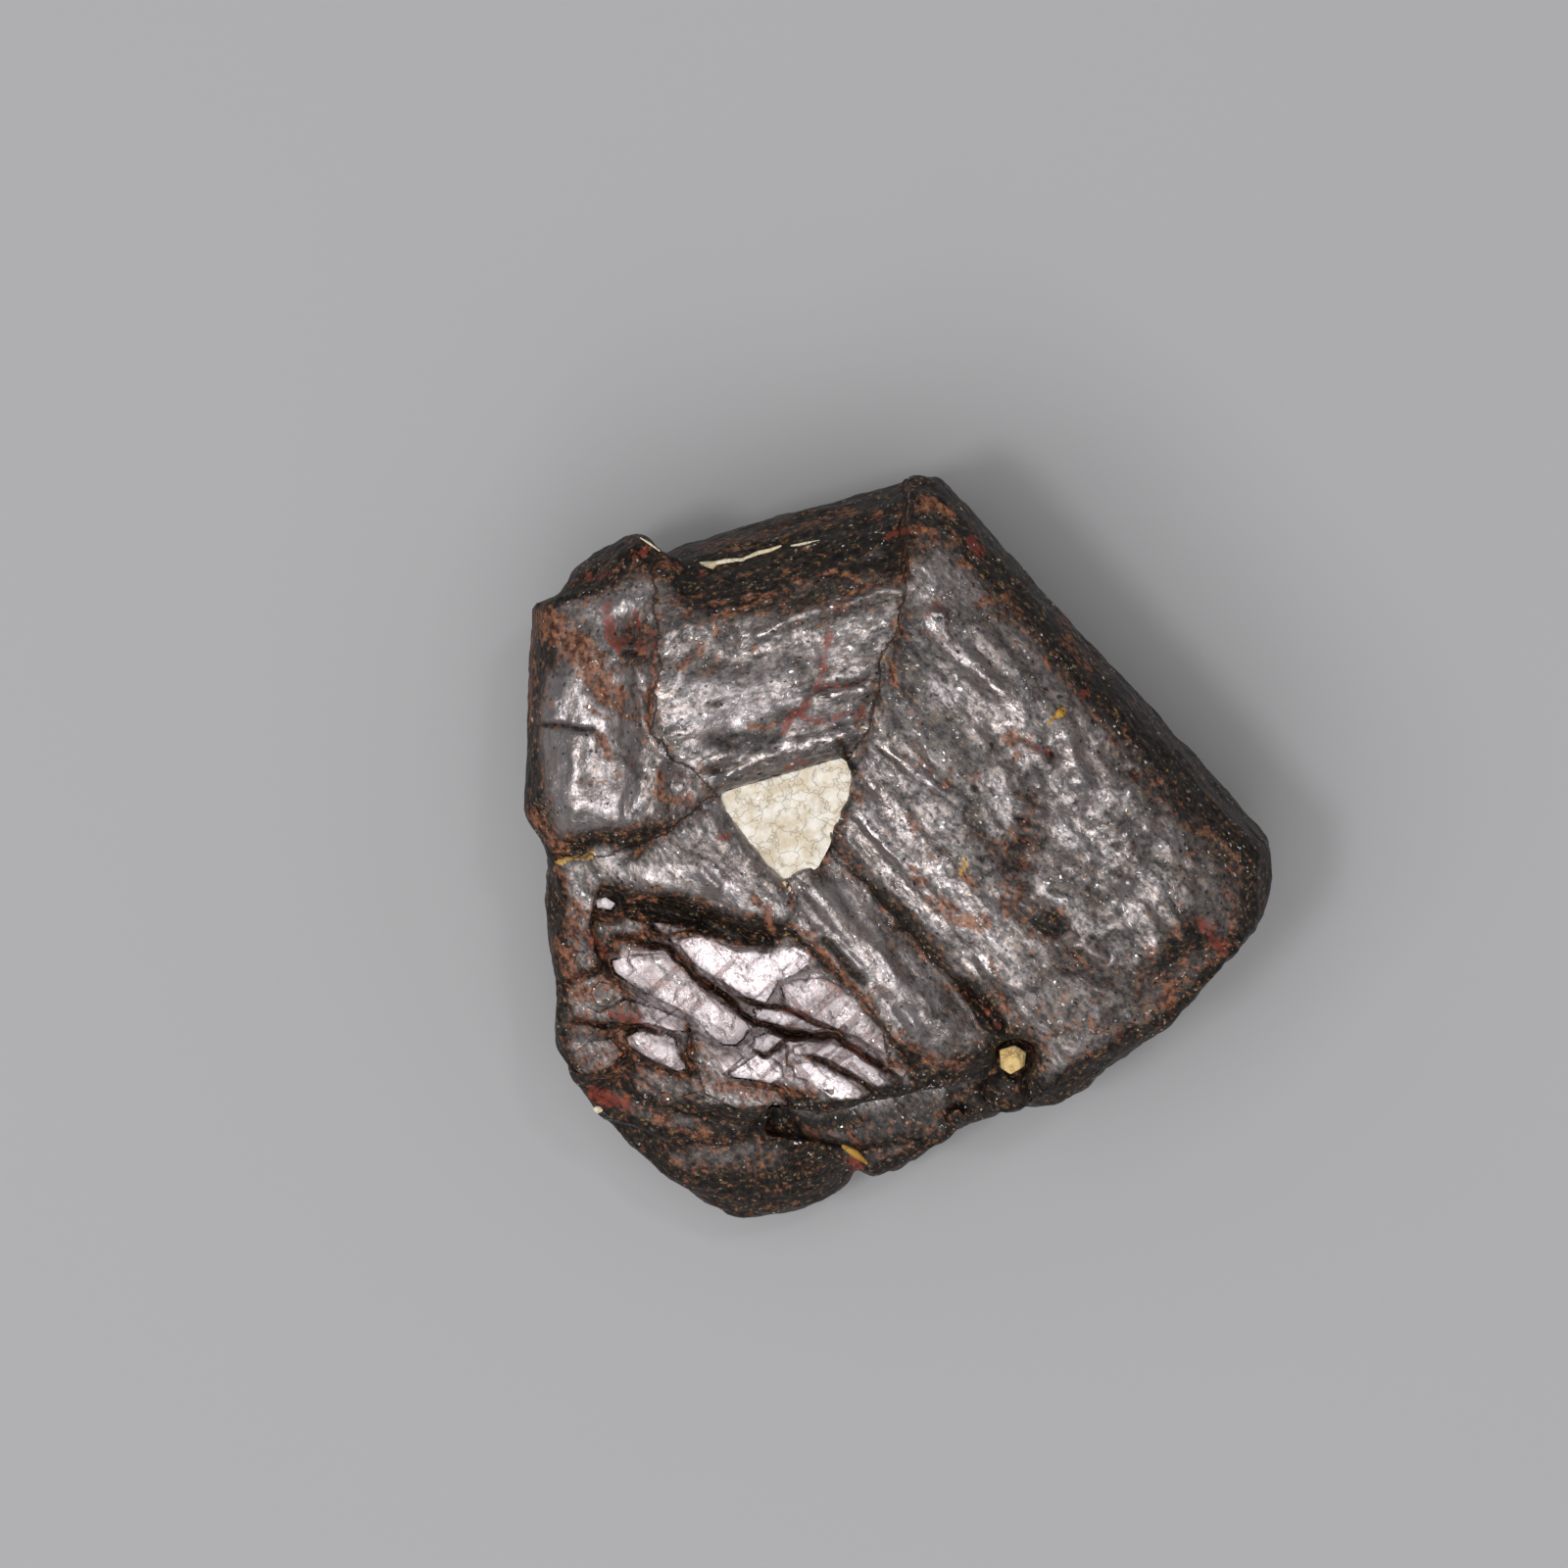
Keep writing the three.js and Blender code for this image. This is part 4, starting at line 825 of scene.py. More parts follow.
        Stain(((-7.8, 7.4), (-7.2, 7.7), (-6.6, 7.5)), 0.7),
        # Top limb
        Stain(((-4.5, 6.2), (-3.2, 6.3), (-2.2, 6.5), (-1.2, 6.7)), 0.35, 0.75),
        Stain(((-5.2, 4.6), (-4.4, 4.5), (-3.4, 4.7), (-2.5, 4.8)), 0.5, 0.45),
        Stain(((-4.9, 2.85), (-4.0, 2.8), (-3.2, 2.95)), 0.35, 0.75),
        Stain(((-3.0, 3.4), (-2.6, 3.5)), 0.2, 0.7),
        Stain(((-1.5, 2.7), (-1.3, 2.3), (-1.2, 2.05)), 0.25),
        # Block and broken zone
        Stain(
            ((-6.75, -1.2), (-6.0, -1.3), (-5.2, -1.55), (-4.5, -1.8), (-3.8, -2.15), (-3.1, -2.1)),
            0.42,
        ),
        Stain(((-1.98, -2.25), (-1.65, -2.55), (-1.3, -3.0), (-0.94, -3.3)), 0.16, 0.9),
        Stain(((-6.9, -4.0), (-6.1, -4.2), (-5.5, -4.5), (-5.36, -5.1)), 0.25, 0.8),
        # Lower side
        Stain(((-6.3, -6.3), (-5.8, -6.64), (-5.2, -6.7), (-4.75, -7.05), (-4.0, -7.28)), 0.16),
        Stain(((-3.3, -6.8), (-2.2, -7.2), (-1.0, -7.0)), 0.5),
        Stain(((3.0, -5.6), (2.3, -6.2), (1.4, -6.35)), 0.35),
    ),
}

LIMBS: tuple[Limb, ...] = (
    # Right limb
    Limb(
        -48,
        ((0.1, 12.0), (0.1, 6.5), (-0.95, 3.0), (-1.3, 2.3), (-1.9, 0.3), (0.3, -2.15), (3.1, -5.2),
         (3.3, -12.0), (12.0, -12.0), (12.0, 12.0)),
    ),
    # Top limb
    Limb(
        16,
        ((0.1, 12.0), (0.1, 6.5), (-0.95, 3.0), (-1.3, 2.3), (-4.7, 1.5), (-6.2, 3.0), (-6.2, 7.2),
         (-6.0, 12.0)),
    ),
    # Left limb
    Limb(
        88,
        ((-12.0, -0.2), (-8.0, -0.1), (-6.2, 0.3), (-4.7, 1.5), (-6.2, 3.0), (-6.2, 7.2), (-6.0, 12.0),
         (-12.0, 12.0)),
    ),
)
REST_HEADING = -55.0
LIMB_SHIFT = 0.37


# ---- Thin veins and crumbs ----


@dataclass(frozen=True)
class Vein:
    """A thread or crumb of matrix lying on the crystal: its path in plan and its radius at each corner."""

    path: Path
    radii: tuple[float, ...]


PALE_VEINS: tuple[Vein, ...] = (
    Vein(
        ((-5.14, 7.4), (-4.95, 7.36), (-4.76, 7.33), (-4.65, 7.4), (-4.43, 7.44)),
        (0.03, 0.08, 0.11, 0.06, 0.07),
    ),
    Vein(
        ((-4.43, 7.44), (-4.01, 7.47), (-3.6, 7.65), (-3.3, 7.72), (-3.03, 7.83)),
        (0.07, 0.05, 0.06, 0.05, 0.03),
    ),
    Vein(((-6.62, 8.04), (-6.4, 7.9), (-6.13, 7.7)), (0.015, 0.03, 0.02)),
    Vein(((-2.77, 7.83), (-2.4, 7.88), (-2.05, 7.95)), (0.02, 0.05, 0.03)),
    Vein(((-0.7, 4.2), (-0.8, 3.8), (-0.88, 3.4), (-0.93, 3.28)), (0.07, 0.05, 0.05, 0.04)),
    Vein(((-1.0, 3.18), (-0.94, 3.18), (-0.88, 3.18)), (0.06, 0.1, 0.06)),
    Vein(((-2.1, -1.0), (-2.16, -1.2), (-2.25, -1.42)), (0.015, 0.03, 0.02)),
    Vein(((-7.83, -6.64), (-7.75, -6.65), (-7.67, -6.66)), (0.06, 0.1, 0.06)),
    Vein(((2.3, -4.38), (2.42, -4.5), (2.5, -4.6)), (0.06, 0.11, 0.07)),
    Vein(((-3.1, -0.6), (-2.95, -0.85), (-2.8, -0.95)), (0.12, 0.12, 0.05)),
    Vein(((-2.75, -0.35), (-2.55, -0.3), (-2.3, -0.1)), (0.07, 0.11, 0.1)),
)
AMBER_VEINS: tuple[Vein, ...] = (
    Vein(((-0.03, 5.94), (-0.14, 5.63), (-0.33, 5.2)), (0.03, 0.06, 0.03)),
    Vein(((-0.42, 5.0), (-0.38, 4.85), (-0.48, 4.66), (-0.62, 4.4)), (0.05, 0.12, 0.06, 0.04)),
    Vein(((-2.6, 2.66), (-2.3, 2.75), (-1.84, 2.95)), (0.03, 0.04, 0.03)),
    Vein(((3.98, 3.48), (4.06, 3.55), (4.14, 3.64)), (0.09, 0.16, 0.08)),
    Vein(((3.72, 3.28), (3.85, 3.4), (3.98, 3.5)), (0.03, 0.05, 0.05)),
    Vein(((4.02, 3.6), (3.97, 3.9), (3.93, 4.15)), (0.05, 0.04, 0.02)),
    Vein(((-1.4, -7.66), (-1.1, -7.85), (-0.8, -8.1)), (0.06, 0.12, 0.04)),
    Vein(((0.04, -1.83), (0.3, -2.1), (0.54, -2.33)), (0.03, 0.06, 0.03)),
)


# ---- Node building ----


class NodeBench:
    """Adds and joins the nodes of one material."""

    def __init__(self, name: str) -> None:
        """Starts a material with its Principled shader.

        Args:
            name: The material's name.
        """
        self.material = bpy.data.materials.new(name)
        self.material.use_nodes = True
        self.tree = self.material.node_tree
        self.shader = self.tree.nodes["Principled BSDF"]

    def add(self, kind: str, **inputs: object) -> bpy.types.Node:
        """Adds a node and sets or links its inputs.

        Args:
            kind: The node's type name.
            **inputs: Socket name, with underscores for spaces, to a value or an output socket.

        Returns:
            The node.
        """
        node = self.tree.nodes.new(kind)
        for socket_name, value in inputs.items():
            self.feed(node.inputs[socket_name.replace("_", " ")], value)
        return node

    def feed(self, socket: Socket, value: object) -> None:
        """Links an output to a socket, or sets the socket's own value.

        Args:
            socket: The input socket.
            value: An output socket, a number, a vector or a colour.
        """
        if isinstance(value, Socket):
            self.tree.links.new(value, socket)
        elif isinstance(value, tuple) and len(value) == 3 and socket.type == "RGBA":
            socket.default_value = (*value, 1.0)
        else:
            socket.default_value = value

    def millimetres(self) -> Socket:
        """Where the surface lies in the frame of the part, in millimetres."""
        return self.stretched(self.add("ShaderNodeTexCoord").outputs["Object"], (1.0 / MM,) * 3)

    def attribute(self, name: str, output: str = "Fac") -> Socket:
        """Reads a mesh attribute.

        Args:
            name: The attribute's name.
            output: Which of the node's outputs is wanted.

        Returns:
            The output.
        """
        node = self.tree.nodes.new("ShaderNodeAttribute")
        node.attribute_name = name
        return node.outputs[output]

    def stretched(self, vector: Socket, scale: Triple) -> Socket:
        """Scales a vector by three factors."""
        return self.add("ShaderNodeMapping", Vector=vector, Scale=scale).outputs["Vector"]

    def noise(
        self, vector: Socket, scale: float, detail: float, roughness: float
    ) -> Socket:
        """Makes a noise value.

        Args:
            vector: Where it is sampled.
            scale: Features per unit of the vector.
            detail: How many finer layers are added.
            roughness: How strong the finer layers are.

        Returns:
            The noise value, about 0.5 on average.
        """
        node = self.add("ShaderNodeTexNoise", Vector=vector, Scale=scale, Detail=detail, Roughness=roughness)
        return node.outputs["Fac"]

    def math(self, operation: str, first: object, *others: object) -> Socket:
        """Applies a math operation to values or sockets, from left to right.

        Args:
            operation: The Math node's operation.
            first: The first value or socket.
            *others: Those that follow.

        Returns:
            The result, which isn't clamped.
        """
        result = first
        for other in others:
            node = self.tree.nodes.new("ShaderNodeMath")
            node.operation = operation
            self.feed(node.inputs[0], result)
            self.feed(node.inputs[1], other)
            result = node.outputs["Value"]
        return result

    def product(self, *values: object) -> Socket:
        """Multiplies values or sockets together."""
        return self.math("MULTIPLY", *values)

    def rest(self, share: object) -> Socket:
        """What a share leaves of one."""
        return self.math("SUBTRACT", 1.0, share)

    def vector_math(self, operation: str, *values: object) -> Socket:
        """Applies a vector operation.

        Args:
            operation: The Vector Math node's operation.
            *values: A value or socket for each of its inputs.

        Returns:
            The vector.
        """
        node = self.tree.nodes.new("ShaderNodeVectorMath")
        node.operation = operation
        for socket, value in zip(node.inputs, values):
            self.feed(socket, value)
        return node.outputs["Vector"]

    def remap(
        self, value: Socket, low: float, high: float, to_low: object = 0.0, to_high: float = 1.0
    ) -> Socket:
        """Eases a value from one range to another and clamps it there.

        Args:
            value: The value.
            low: Start of the range that it comes from.
            high: End of the range that it comes from.
            to_low: Start of the range that it goes to, a number or a socket.
            to_high: End of the range that it goes to.

        Returns:
            The remapped value.
        """
        node = self.tree.nodes.new("ShaderNodeMapRange")
        node.interpolation_type = "SMOOTHSTEP"
        ends = {"Value": value, "From Min": low, "From Max": high, "To Min": to_low, "To Max": to_high}
        for name, entry in ends.items():
            self.feed(node.inputs[name], entry)
        return node.outputs["Result"]

    def blend(self, share: object, first: object, second: object) -> Socket:
        """Mixes two colours.

        Args:
            share: The share of the second colour.
            first: The first colour.
            second: The second colour.

        Returns:
            The mixed colour.
        """
        node = self.tree.nodes.new("ShaderNodeMix")
        node.data_type = "RGBA"
        for socket, value in zip((node.inputs[0], node.inputs[6], node.inputs[7]), (share, first, second)):
            self.feed(socket, value)
        return node.outputs[2]

    def bump(
        self,
        height: Socket,
        depth: float,
        strength: object,
        under: Socket | None = None,
    ) -> Socket:
        """Turns a height into a normal.

        Args:
            height: The height, 0 to 1.
            depth: How deep a height of 1 is, in millimetres.
            strength: Share of the effect.
            under: The normal that this one is laid over.

        Returns:
            The normal.
        """
        node = self.add("ShaderNodeBump", Height=height, Distance=depth * MM, Strength=strength)
        if under is not None:
            self.feed(node.inputs["Normal"], under)
        return node.outputs["Normal"]


class RutileBench(NodeBench):
    """The rutile's nodes, with the shares of 0 to 1 that say where each of its finishes lies."""

    def __init__(self) -> None:
        """Adds the patterns, and mixes them with what is painted on the mesh."""
        super().__init__("rutile")
        self.place = self.millimetres()
        self.grain = self.attribute("grain", "Vector")
        self.grains = self.along_grain(0.8, 7.0, 3.0, 0.65)
        self.warm = self.along_grain(0.8, 3.8, 3.0, 0.75)
        self.streaks = self.along_grain(0.25, 2.6, 3.0, 0.65)
        self.lumps = self.along_grain(0.5, 2.3, 1.0, 0.4)
        self.ripples = self.along_grain(0.6, 5.5, 1.0, 0.4)
        self.dust = self.noise(self.place, 10.0, 1.0, 0.6)
        self.clusters = self.noise(self.place, 1.3, 2.0, 0.6)
        self.patches = self.noise(self.place, 0.9, 2.0, 0.65)
        self.stains = {tint: self.attribute(tint.value) for tint in Tint}
        self.fresh = self.attribute("fresh")
        self.satin = self.attribute("satin")
        cells = self.crystallites()
        self.draw = cells.outputs["Color"]
        self.middle = cells.outputs["Distance"]
        self.lot = self.add("ShaderNodeSeparateColor", Color=self.draw).outputs
        # The share where no shade is painted
        self.clean = self.rest(self.stains[Tint.SHADE])
        self.mosaic = self.remap(self.grains, 0.38, 0.62)
        wander = self.math("ADD", self.stains[Tint.RUST], self.remap(self.streaks, 0.53, 0.71, 0.0, 0.34))
        self.rusty = self.sprinkled(wander, self.warm, 0.9)
        self.reddish = self.sprinkled(self.stains[Tint.RED], self.grains, 0.85)
        self.ochreous = self.sprinkled(self.stains[Tint.OCHRE], self.grains, 0.95)
        self.specks = self.spots(self.crowded(), 0.25, 0.5)
        # Painted shade of small pits: black dots with no relief under them
        self.pit_shade = self.spots(self.remap(self.lot["Blue"], 0.91, 0.93), 0.2, 0.5, 0.9)
        glassy = self.spots(self.remap(self.lot["Green"], 0.955, 0.965), 0.15, 0.35)
        self.facets = self.product(glassy, self.remap(self.clusters, 0.44, 0.58, 0.25, 1.0))
        # Painted glints: white dots, more of them in clusters
        painted_glints = self.remap(self.dust, 0.70, 0.76, 0.0, 0.8)
        self.painted_glints = self.product(painted_glints, self.remap(self.clusters, 0.48, 0.58))
        self.lustre = self.polished()
        self.scored = self.product(self.remap(self.warm, 0.36, 0.54, 0.3, 1.0), self.hatching())

    def along_grain(
        self, stretch: float, scale: float, detail: float, roughness: float
    ) -> Socket:
        """Makes noise that is drawn out along the growth lines.

        Args:
            stretch: The scale along the lines, as a share of the scale across them.
            scale: Features per millimetre across the lines.
            detail: How many finer layers are added.
            roughness: How strong the finer layers are.

        Returns:
            The noise value.
        """
        drawn = self.stretched(self.grain, (stretch, 1.0, 1.0))
        return self.noise(drawn, scale, detail, roughness)

    def crystallites(self) -> bpy.types.Node:
        """Breaks the surface up into small grains, drawn out along the growth lines.

        Returns:
            The node that gives each grain its own colour, and the distance from its middle.
        """
        jostle = self.add("ShaderNodeTexNoise", Vector=self.grain, Scale=9.0, Detail=1.0)
        reach = (0.12, 0.12, 0.12)
        shifted = self.vector_math("MULTIPLY_ADD", jostle.outputs["Color"], reach, self.grain)
        return self.add(
            "ShaderNodeTexVoronoi", Vector=self.stretched(shifted, (0.7, 1.0, 1.0)), Scale=9.0
        )

    def sprinkled(
        self, amount: Socket, pattern: Socket, most: float
    ) -> Socket:
        """Breaks a painted amount up into specks: few where it is weak, closed up where it is strong.

        Args:
            amount: The painted amount, 0 to 1.
            pattern: The noise that the specks follow.
            most: The share of the colour at full strength.

        Returns:
            The share of the colour.
        """
        lifted = self.math("ADD", pattern, self.product(amount, 0.36))
        return self.remap(lifted, 0.64, 0.84, 0.0, most)

    def spots(
        self, chosen: Socket, core: float, edge: float, most: float = 1.0
    ) -> Socket:
        """Keeps a share to the middles of the small grains.

        Args:
            chosen: The share.
            core: How far from a grain's middle it is whole.
            edge: How far from the middle it has faded out.
            most: The part of it that is left at the middle.

        Returns:
            The share in spots.
        """
        return self.product(chosen, self.remap(self.middle, core, edge, most, 0.0))

    def crowded(self) -> Socket:
        """Picks the small grains that are coloured specks: more of them in clusters and in stains.

        Returns:
            The share of the speck's colour.
        """
        stained = self.math("MAXIMUM", self.stains[Tint.RUST], self.stains[Tint.OCHRE])
        crowd = self.math(
            "ADD",
            self.product(self.clusters, 0.6),
            self.product(stained, 0.10),
            self.product(self.lot["Red"], 0.5),
        )
        return self.remap(crowd, 0.70, 0.80, 0.0, 0.85)

    def polished(self) -> Socket:
        """Finds where the worn, silvery lustre lies: in patches and haze, but not on stains or specks, nor
        where shade is painted.

        Returns:
            The share of lustre.
        """
        patchy = self.remap(self.patches, 0.38, 0.62, 0.28, 0.70)
        worn = self.math("MAXIMUM", patchy, self.stains[Tint.HAZE])
        least = self.remap(self.satin, 0.0, 1.0, 0.4, 0.6)
        grainy = self.remap(self.grains, 0.36, 0.60, least, 1.0)
        dull = (self.rusty, self.reddish, self.product(self.specks, 0.7), self.pit_shade)
        return self.product(worn, grainy, self.clean, *(self.rest(share) for share in dull))

    def hatching(self) -> Socket:
        """Draws the two sets of fine growth lines that cross on a cleavage face.

        Returns:
            1 between the lines, less on them.
        """
        shares = []
        for heading, scale in ((42.0, 3.2), (-50.0, 4.0)):
            turned = self.add("ShaderNodeVectorRotate", Vector=self.place, Angle=math.radians(-heading))
            drawn = self.stretched(turned.outputs["Vector"], (0.12, 1.0, 0.3))
            lines = self.noise(drawn, scale, 2.0, 0.6)
            shares.append(self.remap(lines, 0.36, 0.44, 0.35, 1.0))
        return self.math("MINIMUM", *shares)


@dataclass(frozen=True)
class RutileFinish:
    """Dark rutile: black and brown ground, silvery where worn, rusty in its seams, bright where broken.

    Shade is painted black into its hollows, cracks and flanks, and glints are painted as white dots.
    """

    black: Colour = (0.005, 0.004, 0.004)
    brown: Colour = (0.052, 0.037, 0.024)
    silver: Colour = (0.440, 0.398, 0.405)
    bronze: Colour = (0.400, 0.332, 0.305)
    olive: Colour = (0.130, 0.105, 0.055)
    tan: Colour = (0.240, 0.145, 0.085)
    rust: Colour = (0.320, 0.135, 0.075)
    rust_shade: Colour = (0.070, 0.027, 0.016)
    deep_red: Colour = (0.200, 0.036, 0.024)
    ochre: Colour = (0.520, 0.300, 0.060)
    painted_glint: Colour = (0.800, 0.780, 0.760)
    # white of the painted glints
    facet: Colour = (0.950, 0.930, 0.920)
    cleavage: Colour = (0.500, 0.448, 0.464)
    cleavage_shade: Colour = (0.090, 0.050, 0.046)
    refraction: float = 1.28
    coat: float = 0.35
    coat_roughness: float = 0.06
    lump_depth: float = 0.13
    ripple_depth: float = 0.035
    grain_depth: float = 0.03
    grain_strength: float = 0.8
    dust_depth: float = 0.014
    dust_strength: float = 0.9

    def material(self) -> bpy.types.Material:
        """Builds the material.

        Returns:
            The material.
        """
        look = RutileBench()
        metal = look.math("MAXIMUM", look.facets, look.lustre, look.product(look.fresh, 0.7))
        linked = {
            "Base Color": self.colour(look),
            "Roughness": self.roughness(look),
            "Metallic": metal,
            "Normal": self.relief(look),
            "Coat Normal": self.glitter(look),
            # less coat where shade is painted
            "Coat Weight": look.product(look.remap(look.clean, 0.0, 1.0, 0.1, 1.0), self.coat),
        }
        for name, value in linked.items():
            look.feed(look.shader.inputs[name], value)
        look.shader.inputs["IOR"].default_value = self.refraction
        look.shader.inputs["Coat Roughness"].default_value = self.coat_roughness
        return look.material

    def ground(self, look: RutileBench) -> Socket:
        """Mixes the colour of the unworn surface: painted shade, its specks and its stains.

        Args:
            look: The material's nodes.

        Returns:
            The colour.
        """
        earthy = look.blend(look.remap(look.lot["Green"], 0.3, 0.6), self.olive, self.tan)
        earthy = look.blend(look.remap(look.lot["Blue"], 0.70, 0.75), earthy, self.rust)
        layers = (
            # Painted shade: black where shade is laid in hollows, cracks and on flanks
            (look.product(look.stains[Tint.SHADE], 0.6), self.black),
            (look.specks, earthy),
            (look.rusty, look.blend(look.mosaic, self.rust_shade, self.rust)),
            (look.reddish, self.deep_red),
            (look.ochreous, self.ochre),
        )
        ground = look.blend(look.mosaic, self.black, self.brown)
        for share, colour in layers:
            ground = look.blend(share, ground, colour)
        return ground

    def colour(self, look: RutileBench) -> Socket:
        """Lays painted pit shade, the lustre, painted glints as white dots, the cleavage faces and the glassy
        facets over the ground.

        Args:
            look: The material's nodes.

        Returns:
            The colour.
        """
        sheen = look.blend(look.remap(look.streaks, 0.40, 0.58, 0.7, 0.0), self.silver, self.bronze)
        layers = (
            (look.pit_shade, self.black),
            (look.lustre, sheen),
            (look.painted_glints, self.painted_glint),
            (look.fresh, look.blend(look.scored, self.cleavage_shade, self.cleavage)),
            (look.facets, self.facet),
        )
        colour = self.ground(look)
        for share, over in layers:
            colour = look.blend(share, colour, over)
        return colour

    @staticmethod
    def roughness(look: RutileBench) -> Socket:
        """Mixes the roughness: rougher where shade is painted and in rust, glassy on facets.

        Args:
            look: The material's nodes.

        Returns:
            The roughness.
        """
        dulled = look.math(
            "ADD",
            look.remap(look.patches, 0.35, 0.65, 0.28, 0.37),
            look.product(look.stains[Tint.SHADE], 0.25),
            look.product(look.satin, 0.08),
            look.product(look.rusty, 0.12),
        )
        return look.math("SUBTRACT", dulled, look.product(look.facets, 0.1))

    def relief(self, look: RutileBench) -> Socket:
        """Lays the finest relief over the mesh: softer on fresh breaks, and softest where it is worn.

        Args:
            look: The material's nodes.

        Returns:
            The normal.
        """
        broken = look.remap(look.fresh, 0.0, 1.0, 1.0, 0.5)
        aged = look.product(broken, look.remap(look.satin, 0.0, 1.0, 1.0, 0.35))
        normal = look.bump(look.lumps, self.lump_depth, aged)
        normal = look.bump(look.ripples, self.ripple_depth, aged, under=normal)
        normal = look.bump(look.warm, self.grain_depth, self.grain_strength, under=normal)
        return look.bump(look.dust, self.dust_depth, self.dust_strength, under=normal)

    @staticmethod
    def glitter(look: RutileBench) -> Socket:
        """Tips the gloss of each small grain its own way, so that a few of them catch the light.

        Args:
            look: The material's nodes.

        Returns:
            The tipped normal.
        """
        smooth = look.add("ShaderNodeNewGeometry").outputs["Normal"]
        tilt = look.remap(look.clusters, 0.42, 0.62, 0.6, 0.25)
        centred = look.vector_math("SUBTRACT", look.draw, (0.5, 0.5, 0.5))
        tipped = look.vector_math("MULTIPLY_ADD", centred, tilt, smooth)
        return look.vector_math("NORMALIZE", tipped)


@dataclass(frozen=True)
class MatrixFinish:
    """Matte, finely cracked matrix."""

    name: str
    light: Colour
    dark: Colour
    crack: Colour
    crack_share: float = 0.35
    roughness: float = 0.85
    gloss: float = 0.3

    def material(self) -> bpy.types.Material:
        """Builds the material.

        Returns:
            The material.
        """
        bench = NodeBench(self.name)
        place = bench.millimetres()
        mottle = bench.noise(place, 2.2, 4.0, 0.6)
        dust = bench.noise(place, 14.0, 3.0, 0.6)
        crack = self.cracks(bench, place)
        colour = bench.blend(bench.remap(mottle, 0.35, 0.65), self.light, self.dark)
        colour = bench.blend(bench.product(crack, self.crack_share), colour, self.crack)
        colour = bench.blend(bench.remap(dust, 0.6, 0.8, 0.0, 0.25), colour, self.crack)
        height = bench.math("SUBTRACT", dust, bench.product(crack, 1.2))
        bench.feed(bench.shader.inputs["Base Color"], colour)
        bench.feed(bench.shader.inputs["Normal"], bench.bump(height, 0.04, 0.6))
        bench.shader.inputs["Roughness"].default_value = self.roughness
        bench.shader.inputs["Specular IOR Level"].default_value = self.gloss
        return bench.material

    @staticmethod
    def cracks(bench: NodeBench, place: Socket) -> Socket:
        """Draws a net of fine cracks.

        Args:
            bench: The material's nodes.
            place: Where the surface lies, in millimetres.

        Returns:
            1 in a crack, 0 beside it.
        """
        shift = bench.add("ShaderNodeTexNoise", Vector=place, Scale=2.5, Detail=2.0)
        wobbled = bench.vector_math("ADD", place, shift.outputs["Color"])
        cells = bench.add("ShaderNodeTexVoronoi", Scale=1.9)
        cells.feature = "DISTANCE_TO_EDGE"
        bench.feed(cells.inputs["Vector"], wobbled)
        return bench.remap(cells.outputs["Distance"], 0.0, 0.035, 1.0, 0.0)


# ---- The crystal ----

MERGE_DISTANCE = 1e-4
RANK_STEP = 1e5


def link(name: str, mesh: bpy.types.Mesh) -> bpy.types.Object:
    """Puts a mesh in the scene as an object at the origin.

    Args:
        name: The piece's name.
        mesh: Its mesh.

    Returns:
        The object.
    """
    piece = bpy.data.objects.new(name, mesh)
    bpy.context.scene.collection.objects.link(piece)
    return piece


def settled(piece: bpy.types.Object, material: bpy.types.Material) -> bpy.types.Object:
    """Gives a finished piece its material and its body.

    Args:
        piece: The piece.
        material: The piece's material.

    Returns:
        The piece.
    """
    piece.data.materials.append(material)
    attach(piece, BODY)
    return piece


def smoothed(mesh: bpy.types.Mesh) -> bpy.types.Mesh:
    """Shades a mesh smoothly and gives it back."""
    mesh.polygons.foreach_set("use_smooth", [True] * len(mesh.polygons))
    return mesh


def merged_copy(node: str) -> bmesh.types.BMesh:
    """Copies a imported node's mesh in millimetres, with its loose triangles merged.

    Args:
        node: The node's name.

    Returns:
        The copy, for the caller to free.
    """
    scale = 1.0 / MM
    shape = bmesh.new()
    shape.from_mesh(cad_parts[node].data)
    bmesh.ops.transform(shape, matrix=Matrix.Scale(scale, 4), verts=shape.verts)
    bmesh.ops.remove_doubles(shape, verts=shape.verts, dist=MERGE_DISTANCE * scale * MM)
    return shape


def evaluated(piece: bpy.types.Object) -> bpy.types.Mesh:
    """Applies an object's modifiers, and removes the object and its old mesh.

    Args:
        piece: The object.

    Returns:
        The new mesh.
    """
    old = piece.data
    new = bpy.data.meshes.new_from_object(piece.evaluated_get(bpy.context.evaluated_depsgraph_get()))
    bpy.data.objects.remove(piece)
    bpy.data.meshes.remove(old)
    return new


def remeshed(shape: bmesh.types.BMesh, voxel: float) -> bpy.types.Mesh:
    """Wraps a closed shape in an even mesh.

    Args:
        shape: The shape, which is freed.
        voxel: Edge length of the new faces.

    Returns:
        The new mesh.
    """
    rough = bpy.data.meshes.new("blank")
    shape.to_mesh(rough)
    shape.free()
    blank = link("blank", rough)
    wrap = blank.modifiers.new("wrap", "REMESH")
    wrap.mode = "VOXEL"
    wrap.voxel_size = voxel
    wrap.adaptivity = 0.0
    return evaluated(blank)


def thinned(mesh: bpy.types.Mesh, most: int) -> bpy.types.Mesh:
    """Takes out the triangles that matter least to the form.

    Args:
        mesh: The mesh, which is removed.
        most: How many triangles are left.

    Returns:
        The lighter mesh, with the same attributes.
    """
    heavy = link("heavy", mesh)
    mesh.calc_loop_triangles()
    thin = heavy.modifiers.new("thin", "DECIMATE")
    thin.ratio = min(1.0, most / len(mesh.loop_triangles))
    return evaluated(heavy)


